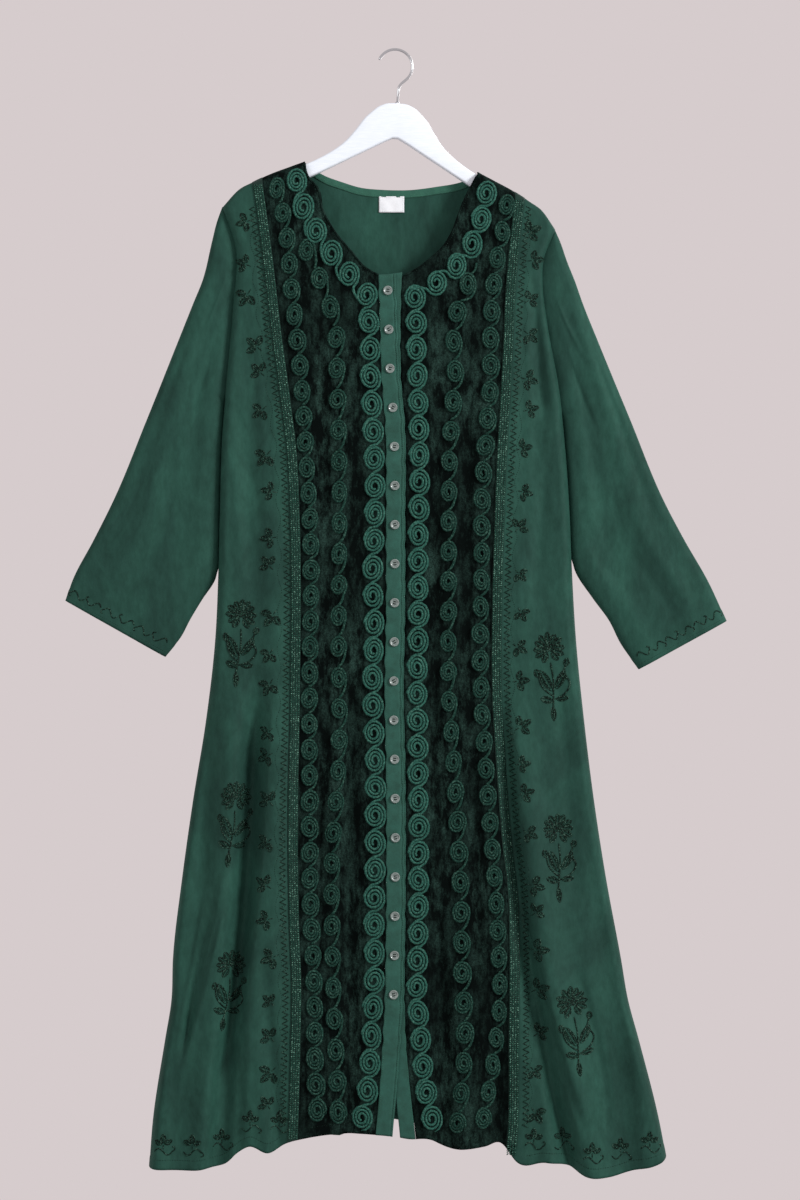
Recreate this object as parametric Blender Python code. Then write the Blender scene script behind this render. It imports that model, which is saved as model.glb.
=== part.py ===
# A long kaftan hanging on a wooden hanger: crushed velvet front panels with couched cord
# spirals, a button placket, plain rayon side panels, back and sleeves.
#
# Metres, +Z up. The origin is the inside of the hook's top, the seat that it hangs by.
# +X is to the right of someone facing the front, and the front faces -Y.
# "down" is always a distance below the origin, so z = -down.

import math

import bmesh
import bpy
import numpy as np
from mathutils import Matrix, Vector

# Walls and gaps
RAYON = 0.0015
VELVET = 0.0020
BAND_WALL = 0.0018
SEAM_GAP = 0.0003
TRIM_GAP = 0.0005
TRIM_HEIGHT = 0.0016
BRAID_HEIGHT = 0.0012
BRAID_GAP = 0.0010
BRAID_WIDTH = 0.0130

# How the cloth turns over its edges: length of the turn across the edge
SHOULDER_ROLL = 0.010
SIDE_ROLL = 0.012
ARMHOLE_DEPTH = 0.007
ARMHOLE_ROLL = 0.010

# The hanger leans 4 degrees down to the right
HANGER_TILT = math.radians(4.0)
HANGER_CENTRE = 0.0078
HANGER_THICKNESS = 0.012
HANGER_EDGE = 0.003
# The cloth's outside over the arm's top edge, at the neck and at the arm's end
CLOTH_OVER_NECK = 0.0046
CLOTH_OVER_END = 0.0036

# Columns: distance from the hanger's middle, distance below the hook's seat
HANGER_TOP = [
    (0.000, 0.0685), (0.012, 0.0695), (0.019, 0.0718), (0.026, 0.0757), (0.034, 0.0830),
    (0.042, 0.0915), (0.052, 0.1065), (0.064, 0.1220), (0.078, 0.1345), (0.095, 0.1460),
    (0.1114, 0.1550), (0.134, 0.1650), (0.158, 0.1755), (0.182, 0.1885), (0.190, 0.1945),
    (0.194, 0.2010),
]
HANGER_UNDER = [
    (0.194, 0.2080), (0.190, 0.2125), (0.182, 0.2115), (0.158, 0.1990), (0.130, 0.1850),
    (0.100, 0.1690), (0.050, 0.1408), (0.010, 0.1182), (0.000, 0.1150),
]
# The shoulder line follows the arm between these, and past the arm's end it hangs free
SHOULDER_START = 0.092
ARM_END = 0.185
SHOULDER_END = [(0.198, 0.1950), (0.218, 0.2195)]

# The hook: a bent wire
WIRE_RADIUS = 0.00175
HOOK_RADIUS = 0.0225
HOOK_TIP_ANGLE = math.radians(160.6)
HOOK_END_ANGLE = math.radians(-20.0)
STEM_TOP = 0.052
STEM_DEPTH = 0.012
BORE_CLEARANCE = 0.0003
BORE_BELOW_STEM = 0.0015
BORE_SIDES = 12
BORE_LENGTH = 0.04
HOOK_STEPS = 18
HOOK_PULL = 0.012

# Where the sleeves leave the body, below the seat
UNDERARM_LEFT = 0.455
UNDERARM_RIGHT = 0.475

# Columns: down, x. The armhole as far as the underarm, then the garment's side
LEFT_SIDE = [
    (0.2043, -0.2258), (0.255, -0.209), (0.340, -0.212), (0.430, -0.220), (0.505, -0.226),
    (0.600, -0.229), (0.685, -0.231), (0.770, -0.235), (0.875, -0.247), (0.980, -0.264),
    (1.080, -0.278), (1.185, -0.290), (1.240, -0.292), (1.290, -0.300), (1.395, -0.316),
    (1.460, -0.321),
]
RIGHT_SIDE = [
    (0.2347, 0.2092), (0.275, 0.194), (0.310, 0.193), (0.355, 0.1985), (0.445, 0.2145),
    (0.515, 0.222), (0.600, 0.228), (0.675, 0.231), (0.770, 0.2365), (0.875, 0.247),
    (0.980, 0.260), (1.080, 0.2755), (1.185, 0.295), (1.240, 0.3045), (1.290, 0.318),
    (1.395, 0.3445), (1.450, 0.355),
]

# Columns: down, x. The seam between velvet and side panel, which the braid covers
LEFT_SEAM = [
    (0.160, -0.181), (0.270, -0.166), (0.373, -0.154), (0.462, -0.142), (0.524, -0.1345),
    (0.607, -0.1305), (0.848, -0.130), (0.990, -0.1325), (1.150, -0.1305), (1.210, -0.128),
    (1.290, -0.129), (1.405, -0.132), (1.430, -0.133),
]
RIGHT_SEAM = [
    (0.185, 0.1635), (0.275, 0.1535), (0.320, 0.150), (0.380, 0.1475), (0.462, 0.143),
    (0.540, 0.1385), (0.607, 0.136), (0.727, 0.1326), (0.848, 0.1326), (0.924, 0.137),
    (1.036, 0.1455), (1.104, 0.153), (1.147, 0.1542), (1.297, 0.1542), (1.405, 0.1528),
    (1.430, 0.151),
]

# Columns: down, x. The front neck edge, from the shoulder to the placket
LEFT_NECK = [
    (0.145, -0.1180), (0.167, -0.1120), (0.180, -0.1010), (0.211, -0.0930), (0.242, -0.0750),
    (0.2655, -0.0550), (0.287, -0.0350), (0.2965, -0.0180),
]
RIGHT_NECK = [
    (0.161, 0.1080), (0.180, 0.0980), (0.196, 0.0900), (0.215, 0.0825), (0.242, 0.0720),
    (0.260, 0.0600), (0.273, 0.0455), (0.287, 0.0275), (0.2965, 0.0080),
]
PLACKET_TOP = 0.2945
NECK_END = LEFT_NECK[-1][0]

# Columns: x, down. The back neck edge and the two hems
BACK_NECK = [
    (-0.1180, 0.1450), (-0.095, 0.1605), (-0.070, 0.1700), (-0.047, 0.1770), (-0.013, 0.1805),
    (0.020, 0.1805), (0.053, 0.1765), (0.087, 0.1700), (0.1080, 0.1610),
]
FRONT_HEM = [
    (-0.322, 1.455), (-0.246, 1.455), (-0.220, 1.449), (-0.206, 1.436), (-0.190, 1.426),
    (-0.164, 1.434), (-0.139, 1.421), (-0.115, 1.415), (-0.064, 1.409), (-0.025, 1.4105),
    (0.000, 1.413), (0.016, 1.416), (0.046, 1.417), (0.066, 1.427), (0.117, 1.426),
    (0.138, 1.422), (0.158, 1.446), (0.196, 1.446), (0.224, 1.451), (0.247, 1.464),
    (0.276, 1.465), (0.308, 1.457), (0.345, 1.447), (0.356, 1.440),
]
BACK_HEM = [
    (-0.322, 1.455), (-0.246, 1.449), (-0.206, 1.427), (-0.139, 1.415), (-0.085, 1.420),
    (-0.070, 1.420), (-0.050, 1.405), (0.050, 1.408), (0.140, 1.413), (0.165, 1.437),
    (0.250, 1.456), (0.308, 1.451), (0.356, 1.440),
]

# Columns: down, over band's left and right edge, under band's left and right edge
BANDS = [
    (0.2945, -0.0213, 0.0020, -0.0165, 0.0062),
    (0.367, -0.0195, 0.0035, -0.0150, 0.0060),
    (0.433, -0.0172, 0.0058, -0.0130, 0.0082),
    (0.485, -0.0130, 0.0105, -0.0090, 0.0128),
    (0.613, -0.0118, 0.0112, -0.0076, 0.0135),
    (0.740, -0.0118, 0.0112, -0.0076, 0.0132),
    (0.835, -0.0135, 0.0095, -0.0095, 0.0115),
    (0.927, -0.0118, 0.0112, -0.0076, 0.0135),
    (1.060, -0.0110, 0.0122, -0.0070, 0.0142),
    (1.185, -0.0121, 0.0109, -0.0080, 0.0130),
    (1.229, -0.0130, 0.0100, -0.0090, 0.0125),
    (1.300, -0.0165, 0.0062, -0.0040, 0.0150),
    (1.360, -0.0205, 0.0015, 0.0010, 0.0205),
    (1.4105, -0.0250, -0.0030, 0.0062, 0.0262),
    (1.430, -0.0265, -0.0045, 0.0080, 0.0280),
]
VELVET_UNDER_BAND = 0.0035

BUTTON_COUNT = 19
BUTTON_FIRST = 0.315
BUTTON_LAST = 1.229
BUTTON_RADIUS = 0.00615
BUTTON_HEIGHT = 0.0026
BUTTON_SIDES = 10

# Columns: down, x, half width. The centre lines of the cord columns
LEFT_CORD_A = [
    (0.155, -0.1610, 0.0105), (0.234, -0.1430, 0.0108), (0.307, -0.1360, 0.0112),
    (0.417, -0.1240, 0.0112), (0.521, -0.1170, 0.0108), (0.627, -0.1110, 0.0108),
    (0.848, -0.1120, 0.0108), (0.962, -0.1120, 0.0110), (1.096, -0.1110, 0.0112),
    (1.238, -0.1050, 0.0112), (1.326, -0.1040, 0.0120), (1.379, -0.1010, 0.0120),
]
LEFT_CORD_B = [
    (0.150, -0.1465, 0.0003), (0.195, -0.1395, 0.0003), (0.229, -0.1280, 0.0030),
    (0.263, -0.1150, 0.0110), (0.304, -0.0970, 0.0115), (0.350, -0.0810, 0.0115),
    (0.437, -0.0760, 0.0110), (0.566, -0.0730, 0.0105), (0.767, -0.0740, 0.0105),
    (0.928, -0.0740, 0.0105), (1.043, -0.0820, 0.0105), (1.170, -0.0820, 0.0105),
    (1.382, -0.0740, 0.0120),
]
LEFT_CORD_C = [
    (0.145, -0.1345, 0.0120), (0.165, -0.1300, 0.0130), (0.195, -0.1240, 0.0140),
    (0.229, -0.1090, 0.0140), (0.257, -0.0900, 0.0140), (0.287, -0.0680, 0.0140),
    (0.312, -0.0416, 0.0138),
    (0.352, -0.0350, 0.0138), (0.428, -0.0325, 0.0138), (0.543, -0.0273, 0.0138),
    (0.616, -0.0268, 0.0138), (0.685, -0.0300, 0.0138), (0.755, -0.0275, 0.0138),
    (0.827, -0.0300, 0.0138), (0.927, -0.0264, 0.0138), (1.000, -0.0262, 0.0138),
    (1.113, -0.0273, 0.0138), (1.223, -0.0280, 0.0138), (1.295, -0.0318, 0.0138),
    (1.357, -0.0368, 0.0138), (1.388, -0.0430, 0.0138),
]
RIGHT_CORD_A = [
    (0.165, 0.1510, 0.0105), (0.185, 0.1480, 0.0105), (0.2275, 0.1410, 0.0105),
    (0.295, 0.1290, 0.0110), (0.363, 0.1240, 0.0115), (0.434, 0.1235, 0.0115), (0.504, 0.1180, 0.0115),
    (0.575, 0.1130, 0.0112), (0.677, 0.1120, 0.0108), (0.7865, 0.1100, 0.0108),
    (0.858, 0.1120, 0.0108), (0.930, 0.1170, 0.0108), (1.000, 0.1220, 0.0108),
    (1.066, 0.1274, 0.0108), (1.173, 0.1336, 0.0108), (1.2415, 0.1350, 0.0105),
    (1.300, 0.1290, 0.0105), (1.396, 0.1130, 0.0110),
]
RIGHT_CORD_B = [
    (0.160, 0.1378, 0.0006), (0.185, 0.1350, 0.0006), (0.2275, 0.1275, 0.0006),
    (0.250, 0.1210, 0.0025), (0.280, 0.1065, 0.0090), (0.307, 0.0944, 0.0115),
    (0.350, 0.0785, 0.0115), (0.428, 0.0775, 0.0112), (0.503, 0.0715, 0.0108),
    (0.581, 0.0694, 0.0105), (0.6955, 0.0690, 0.0105), (0.854, 0.0700, 0.0105),
    (0.931, 0.0754, 0.0110), (1.011, 0.0806, 0.0115), (1.093, 0.0842, 0.0118),
    (1.213, 0.0870, 0.0118), (1.290, 0.0900, 0.0115), (1.360, 0.0850, 0.0110),
    (1.399, 0.0806, 0.0110),
]
RIGHT_CORD_C = [
    (0.158, 0.1235, 0.0125), (0.172, 0.1215, 0.0130), (0.185, 0.1190, 0.0135),
    (0.2236, 0.1110, 0.0138), (0.2496, 0.1020, 0.0138),
    (0.2756, 0.0850, 0.0138), (0.300, 0.0605, 0.0138), (0.320, 0.0286, 0.0138),
    (0.359, 0.0270, 0.0138), (0.432, 0.0286, 0.0138), (0.558, 0.0310, 0.0138),
    (0.659, 0.0294, 0.0138), (0.753, 0.0294, 0.0138), (0.824, 0.0280, 0.0138),
    (0.926, 0.0288, 0.0138), (0.9945, 0.0300, 0.0138), (1.152, 0.0290, 0.0138),
    (1.222, 0.0278, 0.0138), (1.291, 0.0325, 0.0138), (1.357, 0.0400, 0.0138),
    (1.392, 0.0475, 0.0138),
]

# Columns: name, side, line, spirals, down of the first and the last spiral's centre
CORD_COLUMNS = [
    ("cord_left_a", "left", "a", 37, 0.182, 1.379),
    ("cord_left_b", "left", "b", 29, 0.263, 1.382),
    ("cord_left_c", "left", "c", 36, 0.172, 1.388),
    ("cord_right_a", "right", "a", 35, 0.204, 1.390),
    ("cord_right_b", "right", "b", 29, 0.307, 1.396),
    ("cord_right_c", "right", "c", 37, 0.188, 1.390),
]
# Shares of the pitch and of the column's width: the disc's straight flanks, the link between
# two discs, and the last disc's end
DISC_FLANK = 0.27
DISC_HALF_WIDTH = 0.48
LINK_WIDTH = 0.12
LAST_DISC_END = (0.42, 0.45)

# Columns: x and down at the fold's start, middle and end, half width at both ends,
# height out of the panel (a valley's is negative), 1 if it runs out at its lower end
FRONT_FOLDS = [
    (-0.176, 0.78, -0.190, 1.13, -0.212, 1.47, 0.014, 0.021, -0.013, 0),
    (-0.206, 0.78, -0.222, 1.15, -0.246, 1.47, 0.020, 0.024, 0.008, 0),
    (-0.158, 0.85, -0.168, 1.20, -0.176, 1.45, 0.014, 0.017, 0.007, 0),
    (-0.172, 1.12, -0.163, 1.28, -0.149, 1.45, 0.007, 0.010, -0.006, 0),
    (-0.238, 0.80, -0.256, 1.10, -0.276, 1.47, 0.015, 0.022, -0.005, 0),
    (-0.192, 0.30, -0.186, 0.55, -0.192, 0.85, 0.014, 0.018, -0.004, 1),
    (-0.171, 0.40, -0.160, 0.65, -0.160, 0.95, 0.012, 0.014, 0.003, 1),
    (0.148, 0.82, 0.172, 1.10, 0.222, 1.47, 0.011, 0.018, -0.012, 0),
    (0.170, 0.88, 0.198, 1.17, 0.254, 1.47, 0.018, 0.026, 0.009, 0),
    (0.187, 1.15, 0.193, 1.30, 0.206, 1.47, 0.009, 0.014, 0.006, 0),
    (0.245, 1.00, 0.283, 1.25, 0.302, 1.47, 0.018, 0.024, -0.005, 0),
    (0.181, 0.30, 0.188, 0.50, 0.195, 0.80, 0.013, 0.018, -0.004, 1),
    (-0.094, 0.34, -0.093, 0.60, -0.094, 0.90, 0.010, 0.010, -0.003, 1),
    (-0.092, 0.82, -0.096, 1.02, -0.093, 1.24, 0.010, 0.011, -0.007, 1),
    (-0.055, 0.74, -0.060, 1.05, -0.055, 1.34, 0.014, 0.014, -0.008, 1),
    (0.095, 0.36, 0.092, 0.62, 0.093, 0.88, 0.010, 0.010, -0.003, 1),
    (0.050, 1.06, 0.060, 1.25, 0.066, 1.44, 0.011, 0.014, -0.009, 0),
    (0.050, 0.42, 0.050, 0.70, 0.050, 0.98, 0.010, 0.012, -0.003, 1),
    (0.138, 1.16, 0.133, 1.30, 0.130, 1.45, 0.011, 0.015, -0.007, 0),
]
BACK_FOLDS = [
    (-0.205, 0.70, -0.222, 1.10, -0.240, 1.47, 0.018, 0.024, 0.007, 0),
    (-0.150, 0.62, -0.168, 1.05, -0.186, 1.47, 0.016, 0.022, -0.007, 0),
    (-0.070, 0.50, -0.085, 0.95, -0.104, 1.46, 0.018, 0.022, 0.006, 0),
    (0.010, 0.66, 0.004, 1.08, -0.010, 1.46, 0.018, 0.022, -0.006, 0),
    (0.085, 0.55, 0.098, 1.00, 0.116, 1.46, 0.018, 0.023, 0.006, 0),
    (0.160, 0.72, 0.180, 1.10, 0.206, 1.47, 0.016, 0.022, -0.007, 0),
    (0.220, 0.86, 0.246, 1.18, 0.280, 1.47, 0.018, 0.026, 0.006, 0),
]
FOLD_START = 0.16

# Columns: down, depth of the front and of the back from the middle plane
BODY_DEPTH = [
    (0.145, 0.0110, 0.0110), (0.300, 0.0160, 0.0130), (0.500, 0.0185, 0.0140),
    (0.700, 0.0210, 0.0150), (1.000, 0.0270, 0.0180), (1.470, 0.0350, 0.0210),
]

# Columns: down, x. The sleeves' outer edge, and their inner edge beside the body
LEFT_SLEEVE_OUTER = [
    (0.2043, -0.2258), (0.2236, -0.2327), (0.2496, -0.2392), (0.3016, -0.2520),
    (0.3276, -0.2626), (0.3796, -0.2834), (0.4836, -0.3250), (0.5876, -0.3679),
    (0.6396, -0.3939), (0.6916, -0.4212), (0.7184, -0.4303),
]
LEFT_SLEEVE_INNER = [
    (0.455, -0.2235), (0.505, -0.2275), (0.600, -0.2305), (0.672, -0.2322),
    (0.690, -0.2345), (0.7176, -0.2522), (0.7436, -0.2678), (0.7657, -0.2795),
    (0.7917, -0.3003),
]
RIGHT_SLEEVE_OUTER = [
    (0.2347, 0.2092), (0.2496, 0.2158), (0.2756, 0.2249), (0.3016, 0.2353),
    (0.3276, 0.2444), (0.3796, 0.2652), (0.4836, 0.3080), (0.5876, 0.3510),
    (0.6396, 0.3783), (0.6916, 0.4082), (0.7449, 0.4329),
]
RIGHT_SLEEVE_INNER = [
    (0.475, 0.2200), (0.515, 0.2235), (0.600, 0.2295), (0.660, 0.2322),
    (0.678, 0.2345), (0.715, 0.2580), (0.7436, 0.2790), (0.775, 0.2950),
    (0.808, 0.3185),
]
# Columns: share of the way from shoulder to cuff, half depth
SLEEVE_DEPTH = [(0.0, 0.0100), (0.3, 0.0110), (0.7, 0.0105), (1.0, 0.0095)]
# Columns: place across the sleeve, start and end along it, half width, height
SLEEVE_FOLDS = [
    (0.28, 0.10, 1.10, 0.12, 0.0030),
    (0.62, 0.20, 0.95, 0.10, -0.0025),
    (0.80, 0.45, 1.10, 0.07, 0.0015),
]
SLEEVE_ROLL = 0.010
SLEEVE_CREASE = 0.018
ARMHOLE_GAP = 0.0014
# At the shoulder's tip the sleeve stands further off, over this share of its length
TIP_GAP = 0.0034
TIP_SHARE = 0.1
TIP_EDGE = 0.014
NORMAL_INSET = 0.03
# The inner edge leaves the armhole, and then the body's side, at these shares of the way
UNDERARM_SHARE = 0.41
SPLIT_SHARE = 0.78
SPLIT_BELOW_UNDERARM = 0.222
SLEEVE_ROWS = [
    0, 0.02, 0.045, 0.08, 0.12, 0.18, 0.25, 0.33, 0.41, 0.51, 0.61, 0.70, 0.78, 0.85, 0.93, 1,
]

# The back's top edge leaves the shoulder seam within this distance of the neck point
NECK_TURN = 0.007
BINDING_WIDTH = 0.0070
BINDING_WALL = 0.0010
LABEL = dict(left=-0.0210, right=0.0120, top=0.1890, bottom=0.2100, wall=0.0008)

# Rows of a panel: 0 to 1 turns over the shoulder, 1 to 2 reaches the underarm, 2 to 3 the hem
TURN_ROWS = [0.0, 1 / 3, 2 / 3, 1.0]
CHEST_ROWS = [1.08, 1.16, 1.24, 1.32, 1.395, 1.44, 1.475, 1.58, 1.72, 1.86, 2.0]
SKIRT_ROWS = [2 + step / 12 for step in range(1, 13)]
ROWS = TURN_ROWS + CHEST_ROWS + SKIRT_ROWS
# Places of the back's columns across it, closer together over the curved shoulders
BACK_SHARES = [
    0, 0.065, 0.13, 0.185, 0.2315, 0.2415, 0.252, 0.335, 0.42, 0.508,
    0.595, 0.68, 0.764, 0.7745, 0.7845, 0.835, 0.89, 0.945, 1,
]
SMALL_STEP = 1e-4


# Reading the tables

def column_curve(table, column=1):
    """A smooth curve through one of a table's columns, over the table's first column."""
    keys = np.array([row[0] for row in table])
    values = np.array([row[column] for row in table])
    slopes = np.gradient(values, keys)

    def read(key):
        index = int(np.clip(np.searchsorted(keys, key) - 1, 0, len(keys) - 2))
        span = keys[index + 1] - keys[index]
        share = min(max((key - keys[index]) / span, 0.0), 1.0)
        rise = share * share * (3 - 2 * share)
        start = share * (1 - share) ** 2 * span * slopes[index]
        end = share * share * (share - 1) * span * slopes[index + 1]
        return values[index] * (1 - rise) + values[index + 1] * rise + start + end

    return read


def mix(first, second, share):
    return first + (second - first) * share


def ease(share):
    share = min(max(share, 0.0), 1.0)
    return share * share * (3 - 2 * share)


def turn(share):
    """Height of a quarter round edge at a share of its width."""
    share = min(max(share, 0.0), 1.0)
    return math.sqrt(1 - (1 - share) ** 2)


# The tilted hanger's shoulder line, in world places

def tilted(across, down):
    """A point of the hanger's own plane, leaned over with the hanger: world x and down."""
    x = across * math.cos(HANGER_TILT) - down * math.sin(HANGER_TILT)
    z = -across * math.sin(HANGER_TILT) - down * math.cos(HANGER_TILT)
    return x, -z


def shoulder_table(side):
    arm = [row for row in HANGER_TOP if SHOULDER_START < row[0] < ARM_END]
    line = []
    for across, down in arm:
        along = (across - arm[0][0]) / (arm[-1][0] - arm[0][0])
        line.append((across, down - mix(CLOTH_OVER_NECK, CLOTH_OVER_END, ease(along))))
    line += SHOULDER_END
    places = [tilted(HANGER_CENTRE + side * across, down) for across, down in line]
    return sorted(places)


left_shoulder = column_curve(shoulder_table(-1))
right_shoulder = column_curve(shoulder_table(1))
left_side = column_curve(LEFT_SIDE)
right_side = column_curve(RIGHT_SIDE)
left_seam = column_curve(LEFT_SEAM)
right_seam = column_curve(RIGHT_SEAM)
left_neck = column_curve(LEFT_NECK)
right_neck = column_curve(RIGHT_NECK)
back_neck = column_curve(BACK_NECK)
front_hem = column_curve(FRONT_HEM)
back_hem = column_curve(BACK_HEM)
front_depth_line = column_curve(BODY_DEPTH, 1)
back_depth_line = column_curve(BODY_DEPTH, 2)
over_left, over_right, under_left, under_right = [column_curve(BANDS, c) for c in (1, 2, 3, 4)]


def shoulder(x):
    return left_shoulder(x) if x < 0 else right_shoulder(x)


def back_top(x):
    """The back's upper edge: the shoulders, and the neck edge between them."""
    if BACK_NECK[0][0] < x < BACK_NECK[-1][0]:
        return max(back_neck(x), shoulder(x))
    return shoulder(x)


def underarm(x):
    return mix(UNDERARM_LEFT, UNDERARM_RIGHT, ease((x + 0.22) / 0.44))


# Depth of the front and the back

def fold_height(folds, x, down):
    """The sum of the folds at one place, outwards from the body."""
    height = 0.0
    for x0, d0, x1, d1, x2, d2, width_top, width_end, rise, runs_out in folds:
        if down <= d0 or (runs_out and down >= d2):
            continue
        along = (down - d0) / (d2 - d0)
        bend = (d1 - d0) / (d2 - d0)
        line = mix(x0, x2, along) + (x1 - mix(x0, x2, bend)) * math.sin(math.pi * min(along, 1))
        width = mix(width_top, width_end, along)
        strength = ease((down - d0) / FOLD_START)
        if runs_out:
            strength *= ease((d2 - down) / FOLD_START)
        height += rise * strength * math.exp(-((x - line) / width) ** 2)
    return height


def front_depth(x, down):
    return front_depth_line(down) + fold_height(FRONT_FOLDS, x, down)


def back_depth(x, down):
    return back_depth_line(down) + fold_height(BACK_FOLDS, x, down)


def armhole_depth(x, down):
    return ARMHOLE_DEPTH * turn((underarm(x) - down) / ARMHOLE_ROLL)


# A panel of the body: a place across, a row down, and the point there

class Panel:
    """One cut piece of the body, from the shoulder or neck to the hem."""

    def __init__(self, across, edge, top, hem, facing, depth):
        self.across = across
        self.edge = edge
        self.top = top
        self.hem = hem
        self.facing = facing
        self.depth = depth
        self.order = 1 if across(0.9, 0.6) > across(0.1, 0.6) else -1
        self.ends = {}

    def column_ends(self, column):
        """How far down the column starts and ends."""
        if column not in self.ends:
            start, end = 0.17, 1.43
            for _ in range(6):
                start = self.top(self.across(column, start))
                end = self.hem(self.across(column, end))
            self.ends[column] = (start, end)
        return self.ends[column]

    def at_neck(self, column):
        """1 where the back's column starts at the neck edge, 0 where it starts at the shoulder."""
        if self.facing < 0:
            return 0.0
        x = self.across(column, self.column_ends(column)[0])
        return turn(min(x - BACK_NECK[0][0], BACK_NECK[-1][0] - x) / NECK_TURN)

    def down(self, column, row):
        start, end = self.column_ends(column)
        if row < 1:
            return start + SHOULDER_ROLL * mix(1 - math.cos(row * math.pi / 2), row, self.at_neck(column))
        reach = underarm(self.across(column, UNDERARM_LEFT))
        if row < 2:
            return mix(start + SHOULDER_ROLL, reach, row - 1)
        return mix(reach, end, row - 2)

    def point(self, column, row):
        down = self.down(column, row)
        x = self.across(column, down)
        over = mix(math.sin(min(row, 1) * math.pi / 2), 1.0, self.at_neck(column))
        rounded = self.edge(column)
        depth = self.depth(x, down) * rounded
        if rounded < 1:
            depth += armhole_depth(x, down) * (1 - rounded)
        return np.array([x, self.facing * (SEAM_GAP / 2 + depth * over), -down])

    def normal(self, column, row):
        """The direction out of the garment."""
        for inset in (0.0, 0.04):
            inner = column + inset * (1 if column < 1 else -1)
            lower = row + inset
            over_column = self.point(inner + SMALL_STEP, lower) - self.point(inner - SMALL_STEP, lower)
            over_row = self.point(inner, lower + SMALL_STEP) - self.point(inner, lower - SMALL_STEP)
            normal = np.cross(over_column, over_row)
            length = np.linalg.norm(normal)
            if length > 1e-13:
                break
        return normal / length * self.facing * self.order

    def grid(self, columns, rows, offset):
        """Points of the panel, moved outwards by the offset."""
        return np.array([
            [self.point(column, row) + self.normal(column, row) * offset for column in columns]
            for row in rows
        ])


def side_panel(side):
    """The front side panel: column 0 is the braid's seam, 2 the garment's side."""
    outline = left_side if side < 0 else right_side
    seam = left_seam if side < 0 else right_seam

    def across(column, down):
        outer = outline(down)
        if column > 1:
            return outer - side * SIDE_ROLL * (1 - math.cos((2 - column) * math.pi / 2))
        return mix(seam(down) + side * SEAM_GAP / 2, outer - side * SIDE_ROLL, column)

    def edge(column):
        return 1.0 if column <= 1 else math.sin((2 - column) * math.pi / 2)

    return Panel(across, edge, shoulder, front_hem, -1, front_depth)


def velvet_panel(side):
    """The velvet front: column 0 is the braid's seam, 7 the neck and placket edge."""
    tables = (LEFT_CORD_A, LEFT_CORD_B, LEFT_CORD_C)
    if side > 0:
        tables = (RIGHT_CORD_A, RIGHT_CORD_B, RIGHT_CORD_C)
    lines = [(column_curve(table, 1), column_curve(table, 2)) for table in tables]
    seam = left_seam if side < 0 else right_seam
    neck = left_neck if side < 0 else right_neck

    def inner_edge(down):
        if down < NECK_END:
            return neck(down)
        if side < 0:
            return over_left(down) + VELVET_UNDER_BAND
        return under_right(down) + SEAM_GAP

    def across(column, down):
        places = [seam(down) - side * SEAM_GAP / 2]
        for centre, half in lines:
            places += [centre(down) + side * half(down), centre(down) - side * half(down)]
        places.append(inner_edge(down))
        index = min(max(int(column), 0), 6)
        return mix(places[index], places[index + 1], column - index)

    return Panel(across, lambda column: 1.0, shoulder, front_hem, -1, front_depth)


def back_panel():
    """The back: column 0 is the left side, 3 the right side."""

    def across(column, down):
        left = left_side(down)
        right = right_side(down)
        if column < 1:
            return left + SIDE_ROLL * (1 - math.cos(column * math.pi / 2))
        if column > 2:
            return right - SIDE_ROLL * (1 - math.cos((3 - column) * math.pi / 2))
        return mix(left + SIDE_ROLL, right - SIDE_ROLL, column - 1)

    def edge(column):
        return math.sin(min(column, 1, 3 - column) * math.pi / 2)

    return Panel(across, edge, back_top, back_hem, 1, back_depth)


# Building meshes

def material(name, colour, roughness, metallic=0.0):
    look = bpy.data.materials.new(name)
    look.use_nodes = True
    shader = look.node_tree.nodes["Principled BSDF"]
    shader.inputs["Base Color"].default_value = (*colour, 1.0)
    shader.inputs["Roughness"].default_value = roughness
    shader.inputs["Metallic"].default_value = metallic
    return look


def add_object(name, points, faces, look):
    mesh = bpy.data.meshes.new(name)
    mesh.from_pydata([tuple(point) for point in points], [], faces)
    shape = bmesh.new()
    shape.from_mesh(mesh)
    bmesh.ops.recalc_face_normals(shape, faces=shape.faces)
    if shape.calc_volume(signed=True) < 0:
        bmesh.ops.reverse_faces(shape, faces=shape.faces)
    shape.to_mesh(mesh)
    shape.free()
    mesh.materials.append(look)
    mesh.shade_smooth()
    mesh.set_sharp_from_angle(angle=math.radians(50))
    piece = bpy.data.objects.new(name, mesh)
    bpy.context.scene.collection.objects.link(piece)
    return piece


def wall_object(name, outer, inner, look):
    """A closed wall between two grids of points."""
    rows, columns = outer.shape[:2]
    points = np.concatenate([outer.reshape(-1, 3), inner.reshape(-1, 3)])
    layer = rows * columns
    faces = []
    for row in range(rows - 1):
        for column in range(columns - 1):
            a = row * columns + column
            b = a + columns
            c = b + 1
            d = a + 1
            faces += [(a, b, c), (a, c, d)]
            faces += [(layer + c, layer + b, layer + a), (layer + d, layer + c, layer + a)]
    last = layer - columns
    rims = [range(columns), range(last, layer)]
    rims += [range(0, last + 1, columns), range(columns - 1, layer, columns)]
    for rim in rims:
        for a, b in zip(rim, rim[1:]):
            faces += [(a, b, layer + b), (a, layer + b, layer + a)]
    return add_object(name, points, faces, look)


def facet_point(grid, column, down):
    """The point on a grid's flat facets at a fractional column and a distance down."""
    left = min(int(column), grid.shape[1] - 2)
    share = column - left
    depths = -mix(grid[:, left, 2], grid[:, left + 1, 2], share)
    row = int(np.clip(np.searchsorted(depths, down) - 1, 0, len(depths) - 2))
    low, high = 0.0, 1.0
    for _ in range(30):
        middle = (low + high) / 2
        place = on_facet(grid, row, left, middle, share)
        if -place[2] < down:
            low = middle
        else:
            high = middle
    return on_facet(grid, row, left, (low + high) / 2, share)


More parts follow.
